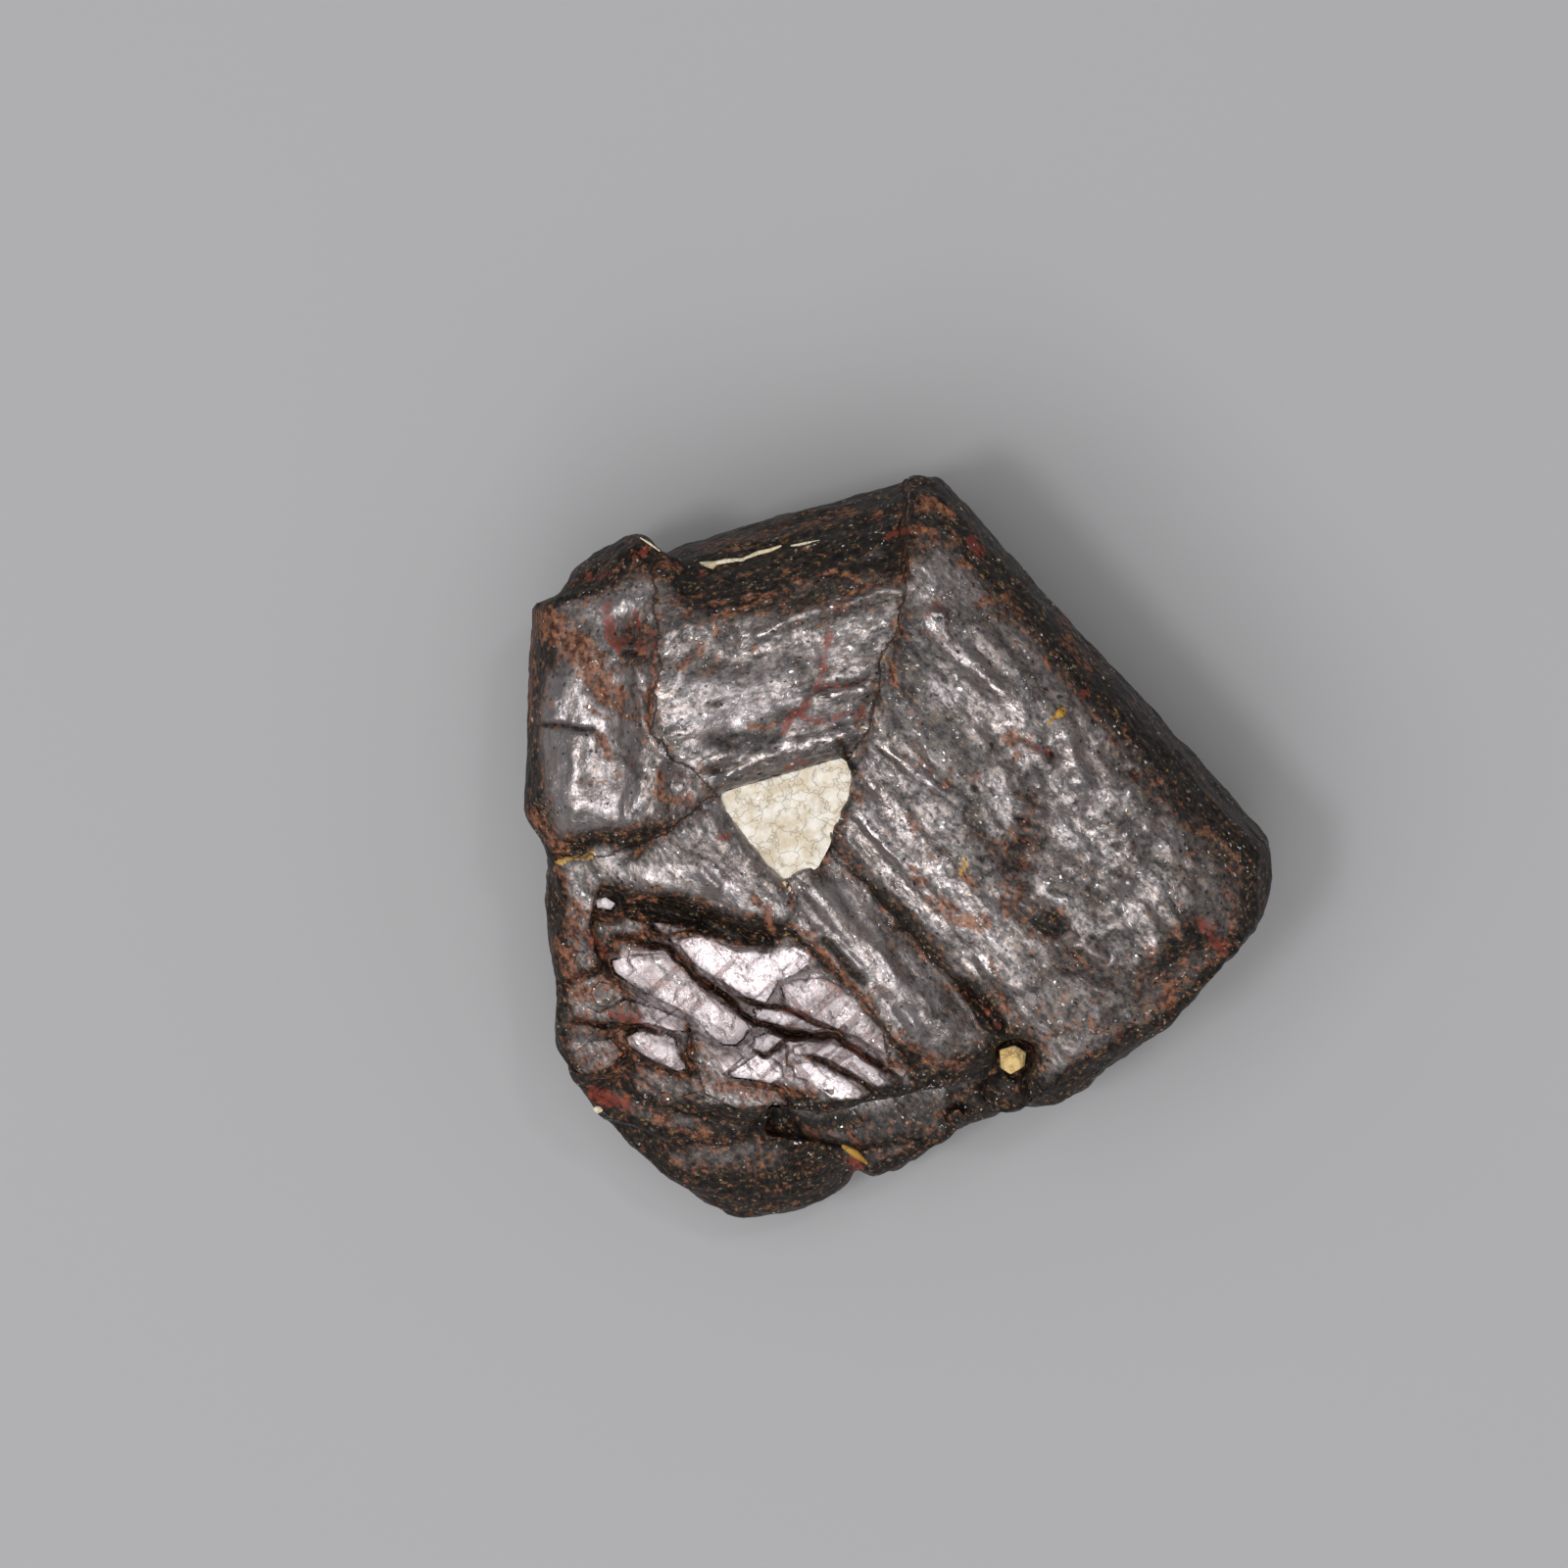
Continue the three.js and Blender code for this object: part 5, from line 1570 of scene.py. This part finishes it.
@dataclass
class Carving:
    """The crystal's mesh while it is carved: its vertices and normals, in millimetres.

    The upper side is where normals and heights have passed two thresholds, and the skirt is the lowest
    part, which reliefs leave as it is. Rubble is banked up beside a flake, as far out as the bank's width.
    Fullness is how soon cracks and stains reach full strength. The end share is what a stroke's ends keep.
    """

    mesh: bpy.types.Mesh
    points: np.ndarray = field(init=False)
    normals: np.ndarray = field(init=False)
    ground: np.ndarray = field(init=False)
    upper_facing: float = 0.15
    facing_fade: float = 0.35
    upper_height: float = 3.5
    height_fade: float = 1.0
    skirt: float = 0.3
    skirt_fade: float = 0.8
    flake_reach: float = 1.3
    flake_edge: float = 0.04
    flake_roughness: float = 0.25
    bank_width: float = 0.4
    bank_drop: float = 0.10
    bank_slope: float = 1.3
    striae_stretch: Triple = (0.18, 1.0, 1.0)
    fullness: float = 1.3
    end_share: float = 0.2
    least_share: float = 0.01

    def __post_init__(self) -> None:
        """Reads the mesh."""
        self.read()

    def read(self) -> None:
        """Reads the vertices and normals from the mesh."""
        self.points = self.column("co")
        self.normals = self.column("normal")

    def column(self, name: str) -> np.ndarray:
        """Reads one vector for each vertex of the mesh.

        Args:
            name: The vector's name, co or normal.

        Returns:
            The vectors, one row each.
        """
        values = np.empty(len(self.mesh.vertices) * 3)
        self.mesh.vertices.foreach_get(name, values)
        return values.reshape(-1, 3)

    def write(self) -> None:
        """Puts moved vertices back and works the normals out again."""
        self.mesh.vertices.foreach_set("co", self.points.ravel())
        self.mesh.update()
        self.read()

    @property
    def plan(self) -> np.ndarray:
        """The vertices seen from above."""
        return self.points[:, :2]

    def upward(self) -> np.ndarray:
        """How much each vertex belongs to the upper side, 0 to 1."""
        facing = smooth_ramp((self.normals[:, 2] - self.upper_facing) / self.facing_fade)
        return facing * smooth_ramp((self.points[:, 2] - self.upper_height) / self.height_fade)

    def measured(self, line: Stroke) -> tuple[np.ndarray, np.ndarray]:
        """Measures the vertices against a stroke's path, which wanders a little.

        Args:
            line: The stroke.

        Returns:
            Each vertex's distance, and how far along the path its foot lies.
        """
        return distance_to_path(drifted(self.plan, line.wander, *STROKE_WAVES), line.path)

    def stroke(self, line: Stroke) -> None:
        """Raises or sinks the surface along a stroke.

        Args:
            line: The stroke.
        """
        gap, along = self.measured(line)
        near = gap < line.width
        share = 1.0 - gap[near] / line.width
        if line.profile is Profile.ROUND:
            height = smooth_ramp(share)
        else:
            height = np.clip(share * self.fullness, 0.0, 1.0)
        total = path_length(line.path)
        ends = np.minimum(along[near], total - along[near]) / line.taper
        height *= smooth_ramp(ends * (1.0 - self.end_share) + self.end_share)
        self.points[near, 2] += line.rise * height * self.upward()[near]

    def knot(self, boss: Knot) -> None:
        """Raises a boss or sinks a pit.

        Args:
            boss: The boss or pit.
        """
        axis = heading_vector(boss.heading)
        offset = self.plan - np.array(boss.place)
        along = offset @ axis / boss.stretch
        across = offset @ np.array([-axis[1], axis[0]])
        share = 1.0 - np.hypot(along, across) / boss.radius
        near = share > 0.0
        self.points[near, 2] += boss.rise * smooth_ramp(share[near]) * self.upward()[near]

    def flake(self, face: Flake) -> np.ndarray:
        """Planes the ground inside an outline to a flat face, and banks rubble up beside it.

        Args:
            face: The cleavage face.

        Returns:
            How much each vertex belongs to the face, 0 to 1.
        """
        middle = np.mean(face.outline, axis=0)
        fall = (self.plan - middle) @ heading_vector(face.heading) * math.tan(math.radians(face.tilt))
        level = face.height - fall
        gap, _ = distance_to_path(self.plan, face.outline + face.outline[:1])
        inside = inside_outline(self.plan, face.outline)
        height = self.points[:, 2]
        near = height > level - self.flake_reach
        beside = ~inside & near & (gap < self.bank_width)
        bank = level - self.bank_drop - self.bank_slope * gap
        height = np.where(beside, np.maximum(height, bank), height)
        share = np.where(inside & near, smooth_ramp(gap / self.flake_edge), 0.0)
        own = level + self.flake_roughness * (height - self.ground)
        self.points[:, 2] = height + (own - height) * share
        return share

    def zone(self, outline: Path, soft: float) -> np.ndarray:
        """Masks a zone of the plan.

        Args:
            outline: The zone's outline; an empty one takes in everything.
            soft: How far inside the outline the mask reaches its full strength.

        Returns:
            A share of 0 to 1 for each vertex.
        """
        if not outline:
            return np.ones(len(self.points))
        gap, _ = distance_to_path(self.plan, outline + outline[:1])
        return np.where(inside_outline(self.plan, outline), smooth_ramp(gap / soft), 0.0)

    def stained(self, stain: Stain) -> np.ndarray:
        """How strongly a stain colours each vertex."""
        gap, _ = distance_to_path(drifted(self.plan, STAIN_WANDER, *STAIN_WAVES), stain.path)
        return stain.strength * smooth_ramp(self.fullness * (1.0 - gap / stain.width))

    def grain(self) -> np.ndarray:
        """Turns the vertices so that the growth lines of their limb run along the first axis.

        Returns:
            The turned vertices, one row each; the limbs are also shifted apart in height.
        """
        headings = np.full(len(self.points), REST_HEADING)
        seen = drifted(self.plan, LIMB_WANDER, *LIMB_WAVES)
        for limb in LIMBS:
            headings[inside_outline(seen, limb.outline)] = limb.heading
        angle = np.radians(headings)
        x, y = self.plan.T
        along = x * np.cos(angle) + y * np.sin(angle)
        across = -x * np.sin(angle) + y * np.cos(angle)
        return np.stack([along, across, self.points[:, 2] + headings * LIMB_SHIFT], axis=1)

    def relief(self, pattern: Relief, grain: np.ndarray) -> None:
        """Swells the surface along its normals with a pattern, and leaves the underside flat.

        Args:
            pattern: The relief.
            grain: The vertices, turned so that growth lines run along the first axis.
        """
        share = self.zone(pattern.zone, pattern.soft)
        share *= smooth_ramp((self.points[:, 2] - self.skirt) / self.skirt_fade)
        if pattern.zone:
            share *= self.upward()
        near = share > self.least_share
        sample = {Texture.PEBBLES: pebbles, Texture.CHIPS: chips}.get(pattern.texture, cloud)
        striae = pattern.texture is Texture.STRIAE
        places = grain[near] * self.striae_stretch if striae else self.points[near]
        height = sample(places, pattern.scale, pattern.seed)
        self.points[near] += self.normals[near] * (pattern.height * height * share[near])[:, None]

    def carve(self) -> np.ndarray:
        """Carves reliefs, flakes, ridges, cracks and knots.

        Returns:
            How freshly broken each vertex is, 0 to 1.
        """
        grain = self.grain()
        self.ground = self.points[:, 2].copy()
        for pattern in RELIEFS:
            self.relief(pattern, grain)
        fresh = np.zeros(len(self.points))
        for face in FLAKES:
            fresh = np.maximum(fresh, self.flake(face) * face.gloss)
        for line in RIDGES + CRACKS:
            self.stroke(line)
        for boss in KNOTS:
            self.knot(boss)
        self.write()
        return fresh

    def averaged(self, values: np.ndarray, rounds: int) -> np.ndarray:
        """Spreads values over the mesh by averaging neighbours.

        Args:
            values: One row for each vertex.
            rounds: How many times.

        Returns:
            The averaged values.
        """
        ends = np.empty(len(self.mesh.edges) * 2, dtype=np.int32)
        self.mesh.edges.foreach_get("vertices", ends)
        first, second = ends.reshape(-1, 2).T
        both = np.concatenate([first, second])
        other = np.concatenate([second, first])
        size = len(self.points)
        count = np.maximum(np.bincount(both, minlength=size), 1)
        columns = [values[:, turn] for turn in range(values.shape[1])]
        for _ in range(rounds):
            columns = [np.bincount(both, column[other], size) / count for column in columns]
        return np.stack(columns, axis=1)

    def hollows(self, rounds: int, depth: float) -> np.ndarray:
        """Finds hollows by how far the averaged surface stands off the surface.

        Args:
            rounds: How often the surface is averaged: the more rounds, the broader the hollows.
            depth: The depth that counts as a whole hollow; below 0 it is the height of a whole crown.

        Returns:
            A share of 0 to 1 for each vertex.
        """
        level = self.averaged(self.points, rounds)
        return smooth_ramp(np.einsum("ij,ij->i", level - self.points, self.normals) / depth)


@dataclass
class Patina:
    """Works out where painted shade, rust, haze and fresh breaks lie on the carved crystal, and paints them
    there.

    An edge is how far inside its outline a zone reaches full strength. Rounds are how often the surface is
    averaged to find hollows, pores, crowns and flanks. A name that joins a place and a tint, such as
    flank_rust, is how strongly that place takes the tint.
    """

    carving: Carving
    fresh: np.ndarray
    broken_edge: float = 0.4
    worn_edge: float = 0.5
    dark_patch_edge: float = 0.7
    seat_edge: float = 0.3
    torn_edge: float = 0.15
    hollow_rounds: int = 10
    hollow_depth: float = 0.10
    pore_rounds: int = 3
    pore_depth: float = 0.03
    crown_rounds: int = 12
    crown_height: float = 0.05
    flank_rounds: int = 45
    flank_facing: float = 0.70
    flank_fade: float = 0.22
    broken_relief: float = 0.7
    pore_share: float = 0.7
    worn_relief: float = 0.95
    flank_painted_shade: float = 0.96
    crack_painted_shade: float = 0.95
    crack_shallow: float = 0.05
    crack_fade: float = 0.1
    crack_width: float = 0.1
    crack_fullness: float = 1.6
    flank_rust: float = 0.25
    shoulder_rust: float = 1.5
    broken_rust: float = 0.55
    dark_patch_rust: float = 0.3
    hollow_red: float = 0.5
    broken_red: float = 0.3
    flank_ochre: float = 0.12
    crown_haze: float = 0.8
    worn_haze: float = 0.92
    torn_gloss: float = 0.8
    torn_cover: float = 0.75
    torn_contrast: float = 0.6
    torn_scale: float = 1.8
    torn_seed: int = 11
    hollow_break_shade: float = 0.9
    crack_break_shade: float = 0.95

    def worn(self) -> np.ndarray:
        """Finds what is worn to satin.

        Returns:
            A share of 0 to 1 for each vertex.
        """
        upward = self.carving.upward()
        zones = ((patch.strength, self.carving.zone(patch.outline, self.worn_edge)) for patch in WORN)
        return np.maximum.reduce([strength * zone * upward for strength, zone in zones])

    def hollow(self, broken: np.ndarray) -> np.ndarray:
        """Finds broad hollows, fewer in the broken zone, and fine pores.

        Args:
            broken: How much each vertex belongs to the broken zone.

        Returns:
            A share of 0 to 1 for each vertex.
        """
        broad = self.carving.hollows(self.hollow_rounds, self.hollow_depth)
        pores = self.carving.hollows(self.pore_rounds, self.pore_depth)
        return np.maximum(broad * (1.0 - self.broken_relief * broken), self.pore_share * pores)

    def flank(self, worn: np.ndarray) -> np.ndarray:
        """Finds the flanks, where the broad form falls away, but not in the seat between the limbs.

        Args:
            worn: How worn each vertex is.

        Returns:
            A share of 0 to 1 for each vertex.
        """
        facing = self.carving.averaged(self.carving.normals, self.flank_rounds)[:, 2]
        steep = 1.0 - smooth_ramp((facing - self.flank_facing) / self.flank_fade)
        return steep * ((1.0 - self.carving.zone(SEAT, self.seat_edge)) * (1.0 - self.worn_relief * worn))

    def crack(self) -> np.ndarray:
        """Finds the cracks; shallow ones count for less.

        Returns:
            How deep in a crack each vertex lies, 0 to 1.
        """
        crack = np.zeros(len(self.carving.points))
        for line in CRACKS:
            gap, _ = self.carving.measured(line)
            depth = smooth_ramp((-line.rise - self.crack_shallow) / self.crack_fade)
            share = self.crack_fullness - self.crack_fullness * gap / max(line.width, self.crack_width)
            crack = np.maximum(crack, depth * smooth_ramp(share))
        return crack

    def torn(self) -> np.ndarray:
        """How much of each vertex is torn open, in patches, between the flakes."""
        patches = self.torn_contrast * cloud(self.carving.points, self.torn_scale, self.torn_seed)
        return smooth_ramp(self.torn_cover + patches) * self.carving.zone(TORN, self.torn_edge)

    def apply(self) -> None:
        """Writes the attributes that the finish reads."""
        carving = self.carving
        broken = carving.zone(BROKEN, self.broken_edge)
        worn = self.worn()
        hollow = self.hollow(broken)
        flank = self.flank(worn)
        crack = self.crack()
        crowns = carving.hollows(self.crown_rounds, -self.crown_height)
        haze = np.maximum(self.crown_haze * crowns, self.worn_haze * worn)
        darkened = [(patch.strength, carving.zone(patch.outline, self.dark_patch_edge)) for patch in DARK_PATCHES]
        # Painted shade: black laid in hollows and pores, on steep flanks, in cracks and in the darker patches
        amounts = {
            Tint.SHADE: [hollow, self.flank_painted_shade * flank, self.crack_painted_shade * crack],
            Tint.RUST: [self.flank_rust * flank + self.shoulder_rust * flank * (1.0 - flank)],
            Tint.RED: [self.hollow_red * hollow, self.broken_red * broken],
            Tint.OCHRE: [self.flank_ochre * flank],
            Tint.HAZE: [haze * (1.0 - flank)],
        }
        amounts[Tint.SHADE] += [strength * zone for strength, zone in darkened]
        amounts[Tint.RUST] += [self.broken_rust * broken, *(self.dark_patch_rust * zone for _, zone in darkened)]
        for tint in Tint:
            amount = np.maximum.reduce(amounts[tint])
            for stain in STAINS[tint]:
                amount = np.maximum(amount, carving.stained(stain))
            self.write(tint.value, amount)
        self.write("satin", worn)
        fresh = np.maximum(self.fresh, self.torn_gloss * self.torn())
        # Painted shade: the bright colour of fresh breaks is taken out of hollows and cracks
        fresh = fresh * (1.0 - self.hollow_break_shade * hollow) * (1.0 - self.crack_break_shade * crack)
        self.write("fresh", fresh)
        layer = carving.mesh.attributes.new("grain", "FLOAT_VECTOR", "POINT")
        layer.data.foreach_set("vector", carving.grain().ravel())

    def write(self, name: str, values: np.ndarray) -> None:
        """Writes one value for each vertex as an attribute of the mesh."""
        layer = self.carving.mesh.attributes.new(name, "FLOAT", "POINT")
        layer.data.foreach_set("value", values.astype(np.float32))


@dataclass
class TwinnedCrystal:
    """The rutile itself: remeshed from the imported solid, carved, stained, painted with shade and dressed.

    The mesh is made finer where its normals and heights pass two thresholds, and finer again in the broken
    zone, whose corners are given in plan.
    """

    node: str = "twinned_crystal"
    voxel: float = 0.145
    most_triangles: int = 190_000
    crease: float = 38.0
    fine_facing: float = 0.35
    fine_height: float = 4.0
    broken_facing: float = 0.2
    broken_height: float = 7.0
    broken_low: Point = (-8.4, -6.5)
    broken_high: Point = (0.2, -1.0)
    margin: float = 0.004
    sole: float = 0.05
    finish: RutileFinish = field(default_factory=RutileFinish)

    def build(self) -> bpy.types.Object:
        """Builds the piece and puts it in place of its node.

        Returns:
            The piece.
        """
        mesh = remeshed(merged_copy(self.node), self.voxel)
        self.refine(mesh)
        carving = Carving(mesh)
        Patina(carving, carving.carve()).apply()
        self.keep_in_box(carving)
        carving.points *= MM
        carving.write()
        mesh = smoothed(thinned(mesh, self.most_triangles))
        mesh.set_sharp_from_angle(angle=math.radians(self.crease))
        piece = link("rutile_body", mesh)
        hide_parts(self.node)
        return settled(piece, self.finish.material())

    def refine(self, mesh: bpy.types.Mesh) -> None:
        """Evens the mesh out, halves its edges on the upper side, and halves them again in the broken zone.

        Args:
            mesh: The crystal's mesh, in millimetres.
        """
        shape = bmesh.new()
        shape.from_mesh(mesh)
        bmesh.ops.smooth_vert(
            shape, verts=shape.verts, factor=0.5, use_axis_x=True, use_axis_y=True, use_axis_z=True
        )
        shape.normal_update()
        for chosen in (self.on_top, self.in_broken_zone):
            edges = [edge for edge in shape.edges if chosen(edge)]
            bmesh.ops.subdivide_edges(shape, edges=edges, cuts=1, use_grid_fill=True, smooth=0.0)
            shape.normal_update()
        bmesh.ops.triangulate(shape, faces=[face for face in shape.faces if len(face.verts) > 4])
        shape.to_mesh(mesh)
        shape.free()

    def on_top(self, edge: bmesh.types.BMEdge) -> bool:
        """Whether an edge lies on the side that faces up."""
        return all(end.normal.z > self.fine_facing and end.co.z > self.fine_height for end in edge.verts)

    def in_broken_zone(self, edge: bmesh.types.BMEdge) -> bool:
        """Whether an edge lies in the broken zone.

        Args:
            edge: The edge.

        Returns:
            True where it faces up and its middle lies inside the zone's corners and above its floor.
        """
        middle = (edge.verts[0].co + edge.verts[1].co) / 2.0
        facing = all(end.normal.z > self.broken_facing for end in edge.verts)
        (low_x, low_y), (high_x, high_y) = self.broken_low, self.broken_high
        inside = low_x < middle.x < high_x and low_y < middle.y < high_y
        return facing and inside and middle.z > self.broken_height

    def keep_in_box(self, carving: Carving) -> None:
        """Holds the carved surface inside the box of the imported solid, and sets its sole flat on the floor.

        Args:
            carving: The crystal's carving.
        """
        low, high = np.array(CAD_BOX) / MM
        carving.points = np.clip(carving.points, low + self.margin, high - self.margin)
        height = carving.points[:, 2]
        carving.points[:, 2] = np.where(height < self.sole, 0.0, height)


@dataclass
class MatrixPiece:
    """A piece of matrix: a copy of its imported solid, swollen to fill its seat, rounded and roughened."""

    node: str
    name: str
    slot: str
    finish: MatrixFinish
    swell: float
    voxel: float
    relief: float
    relief_scale: float = 2.2
    relief_seed: int = 4
    side_facing: float = 0.1
    top_facing: float = 0.3

    def build(self) -> bpy.types.Object:
        """Builds the piece and puts it in place of its node.

        Returns:
            The piece.
        """
        shape = merged_copy(self.node)
        shape.normal_update()
        for vertex in shape.verts:
            sideways = Vector((vertex.normal.x, vertex.normal.y, 0.0))
            if sideways.length > self.side_facing:
                vertex.co += sideways.normalized() * self.swell
        mesh = remeshed(shape, self.voxel)
        carving = Carving(mesh)
        rough = cloud(carving.points, self.relief_scale, self.relief_seed)
        carving.points[:, 2] += rough * self.relief * (carving.normals[:, 2] > self.top_facing)
        carving.points *= MM
        carving.write()
        piece = link(self.name, smoothed(mesh))
        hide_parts(self.node)
        return settled(piece, self.finish.material())


@dataclass
class VeinSet:
    """Threads and crumbs of matrix that lie on the crystal, made as one piece."""

    name: str
    slot: str
    finish: MatrixFinish
    veins: tuple[Vein, ...]
    sides: int = 8
    lift: float = 0.3
    tip: float = 0.3
    drop_height: float = 30.0

    def build(self) -> bpy.types.Object:
        """Builds the piece.

        Returns:
            The piece.
        """
        ground = merged_copy("twinned_crystal")
        tree = BVHTree.FromBMesh(ground)
        ground.free()
        shape = bmesh.new()
        for vein in self.veins:
            self.thread(shape, vein, tree)
        # An extrusion makes its faces in no fixed order
        shape.verts.index_update()
        shape.faces.sort(key=self.rank)
        bmesh.ops.recalc_face_normals(shape, faces=shape.faces)
        bmesh.ops.transform(shape, matrix=Matrix.Scale(MM, 4), verts=shape.verts)
        mesh = bpy.data.meshes.new(self.name)
        shape.to_mesh(mesh)
        shape.free()
        return settled(link(self.name, smoothed(mesh)), self.finish.material())

    @staticmethod
    def rank(face: bmesh.types.BMFace) -> float:
        """Gives every face a number of its own, from the numbers of its corners."""
        corners = [corner.index for corner in face.verts]
        return min(corners) * RANK_STEP + sum(corners)

    def thread(self, shape: bmesh.types.BMesh, vein: Vein, tree: BVHTree) -> None:
        """Sweeps one vein along its path, over the ground below it.

        Args:
            shape: Where it is built, in millimetres.
            vein: The vein.
            tree: The crystal's surface.
        """
        first, last = vein.radii[0], vein.radii[-1]
        corners = [self.landed(*corner, tree) for corner in zip(vein.path, vein.radii)]
        heading = (corners[-1] - corners[0]).normalized()
        corners = [corners[0] - heading * first, *corners, corners[-1] + heading * last]
        radii = (first * self.tip, *vein.radii, last * self.tip)
        turn = heading.to_track_quat("Z", "Y").to_matrix().to_4x4()
        start = Matrix.Translation(corners[0]) @ turn
        made = bmesh.ops.create_circle(
            shape, cap_ends=True, segments=self.sides, radius=radii[0], matrix=start
        )
        face = made["verts"][0].link_faces[0]
        for before, after, old, new in zip(corners[:-1], corners[1:], radii[:-1], radii[1:]):
            grown = bmesh.ops.extrude_face_region(shape, geom=[face])["geom"]
            face = next(part for part in grown if isinstance(part, bmesh.types.BMFace))
            for vertex in face.verts:
                vertex.co = after + (vertex.co - before) * (new / old)

    def landed(self, point: Point, radius: float, tree: BVHTree) -> Vector:
        """Drops a plan point onto the crystal and lifts it by part of the vein's radius.

        Args:
            point: The plan point.
            radius: The vein's radius there.
            tree: The crystal's surface.

        Returns:
            The point on the vein's axis.
        """
        hit = tree.ray_cast(Vector((*point, self.drop_height)), Vector((0.0, 0.0, -1.0)))[0]
        return Vector((*point, hit.z + radius * self.lift))


# ---- Studio ----


@dataclass(frozen=True)
class Softbox:
    """A square soft light that faces the crystal: where it hangs, its side, and its power in watts."""

    name: str
    place: Triple
    side: float
    power: float

    def hang(self) -> None:
        """Hangs the light."""
        light = bpy.data.lights.new(self.name, "AREA")
        light.energy = self.power
        light.size = self.side
        lamp = bpy.data.objects.new(self.name, light)
        lamp.location = self.place
        lamp.rotation_euler = (-Vector(self.place)).to_track_quat("-Z", "Y").to_euler()
        bpy.context.scene.collection.objects.link(lamp)


@dataclass
class Studio:
    """Pale floor, soft light and a camera straight above the crystal."""

    frame_width: float = 40.0 * MM
    frame_middle: Point = (-2.95 * MM, 1.75 * MM)
    focus_height: float = 9.0 * MM
    lens: float = 200.0
    sensor: float = 36.0
    near_limit: float = 0.01
    floor_size: float = 2.0
    floor_colour: Colour = (0.44, 0.44, 0.45)
    floor_roughness: float = 0.9
    floor_gloss: float = 0.1
    surround: float = 0.03
    lights: tuple[Softbox, ...] = (
        Softbox("canopy", (0.0, 0.0, 0.42), 1.3, 1.5),
        Softbox("overhead", (-0.055, -0.07, 0.34), 0.32, 0.84),
        Softbox("key", (-0.08, -0.03, 0.33), 0.035, 0.18),
        Softbox("spark", (0.05, 0.06, 0.33), 0.022, 0.06),
    )

    def build(self) -> None:
        """Builds the floor, the lights and the camera."""
        self.floor()
        for light in self.lights:
            light.hang()
        self.world()
        self.camera()

    def floor(self) -> None:
        """Builds the floor that the crystal rests on."""
        shape = bmesh.new()
        bmesh.ops.create_grid(shape, x_segments=1, y_segments=1, size=self.floor_size / 2.0)
        mesh = bpy.data.meshes.new("floor")
        shape.to_mesh(mesh)
        shape.free()
        bench = NodeBench("floor_paint")
        bench.shader.inputs["Base Color"].default_value = (*self.floor_colour, 1.0)
        bench.shader.inputs["Roughness"].default_value = self.floor_roughness
        bench.shader.inputs["Specular IOR Level"].default_value = self.floor_gloss
        mesh.materials.append(bench.material)
        link("floor", mesh)

    def world(self) -> None:
        """Surrounds the set with an even dim light."""
        world = bpy.data.worlds.new("studio")
        world.use_nodes = True
        background = world.node_tree.nodes["Background"]
        background.inputs["Color"].default_value = (1.0, 1.0, 1.0, 1.0)
        background.inputs["Strength"].default_value = self.surround
        bpy.context.scene.world = world

    def camera(self) -> None:
        """Hangs the camera straight above the crystal."""
        data = bpy.data.cameras.new("camera")
        data.lens = self.lens
        data.sensor_width = self.sensor
        data.clip_start = self.near_limit
        eye = bpy.data.objects.new("camera", data)
        distance = self.frame_width * self.lens / self.sensor
        eye.location = (*self.frame_middle, self.focus_height + distance)
        bpy.context.scene.collection.objects.link(eye)
        bpy.context.scene.camera = eye
        bpy.context.scene.view_settings.view_transform = "Standard"


def main() -> None:
    """Builds the crystal, its matrix and the studio."""
    logging.basicConfig(level=logging.INFO, format="%(name)s: %(message)s")
    plug_finish = MatrixFinish("pale_matrix", (0.92, 0.87, 0.79), (0.70, 0.60, 0.45), (0.34, 0.26, 0.16))
    grain_finish = MatrixFinish("straw_matrix", (0.80, 0.58, 0.26), (0.62, 0.40, 0.14), (0.24, 0.13, 0.05))
    vein_finish = MatrixFinish("pale_vein", (0.88, 0.80, 0.62), (0.74, 0.60, 0.38), (0.34, 0.24, 0.12))
    amber_finish = MatrixFinish("amber_vein", (0.60, 0.34, 0.07), (0.40, 0.20, 0.04), (0.16, 0.08, 0.03))
    makers = (
        TwinnedCrystal(),
        MatrixPiece("matrix_plug", "hollow_fill", "pale_matrix", plug_finish, 0.45, 0.06, 0.10),
        MatrixPiece("matrix_grain", "seam_grain", "straw_matrix", grain_finish, 0.06, 0.03, 0.04),
        VeinSet("pale_veins", "pale_matrix", vein_finish, PALE_VEINS),
        VeinSet("amber_veins", "straw_matrix", amber_finish, AMBER_VEINS),
    )
    for maker in makers:
        piece = maker.build()
        log.info("%s: %d faces", piece.name, len(piece.data.polygons))
    Studio().build()


if __name__ == "__main__":
    main()
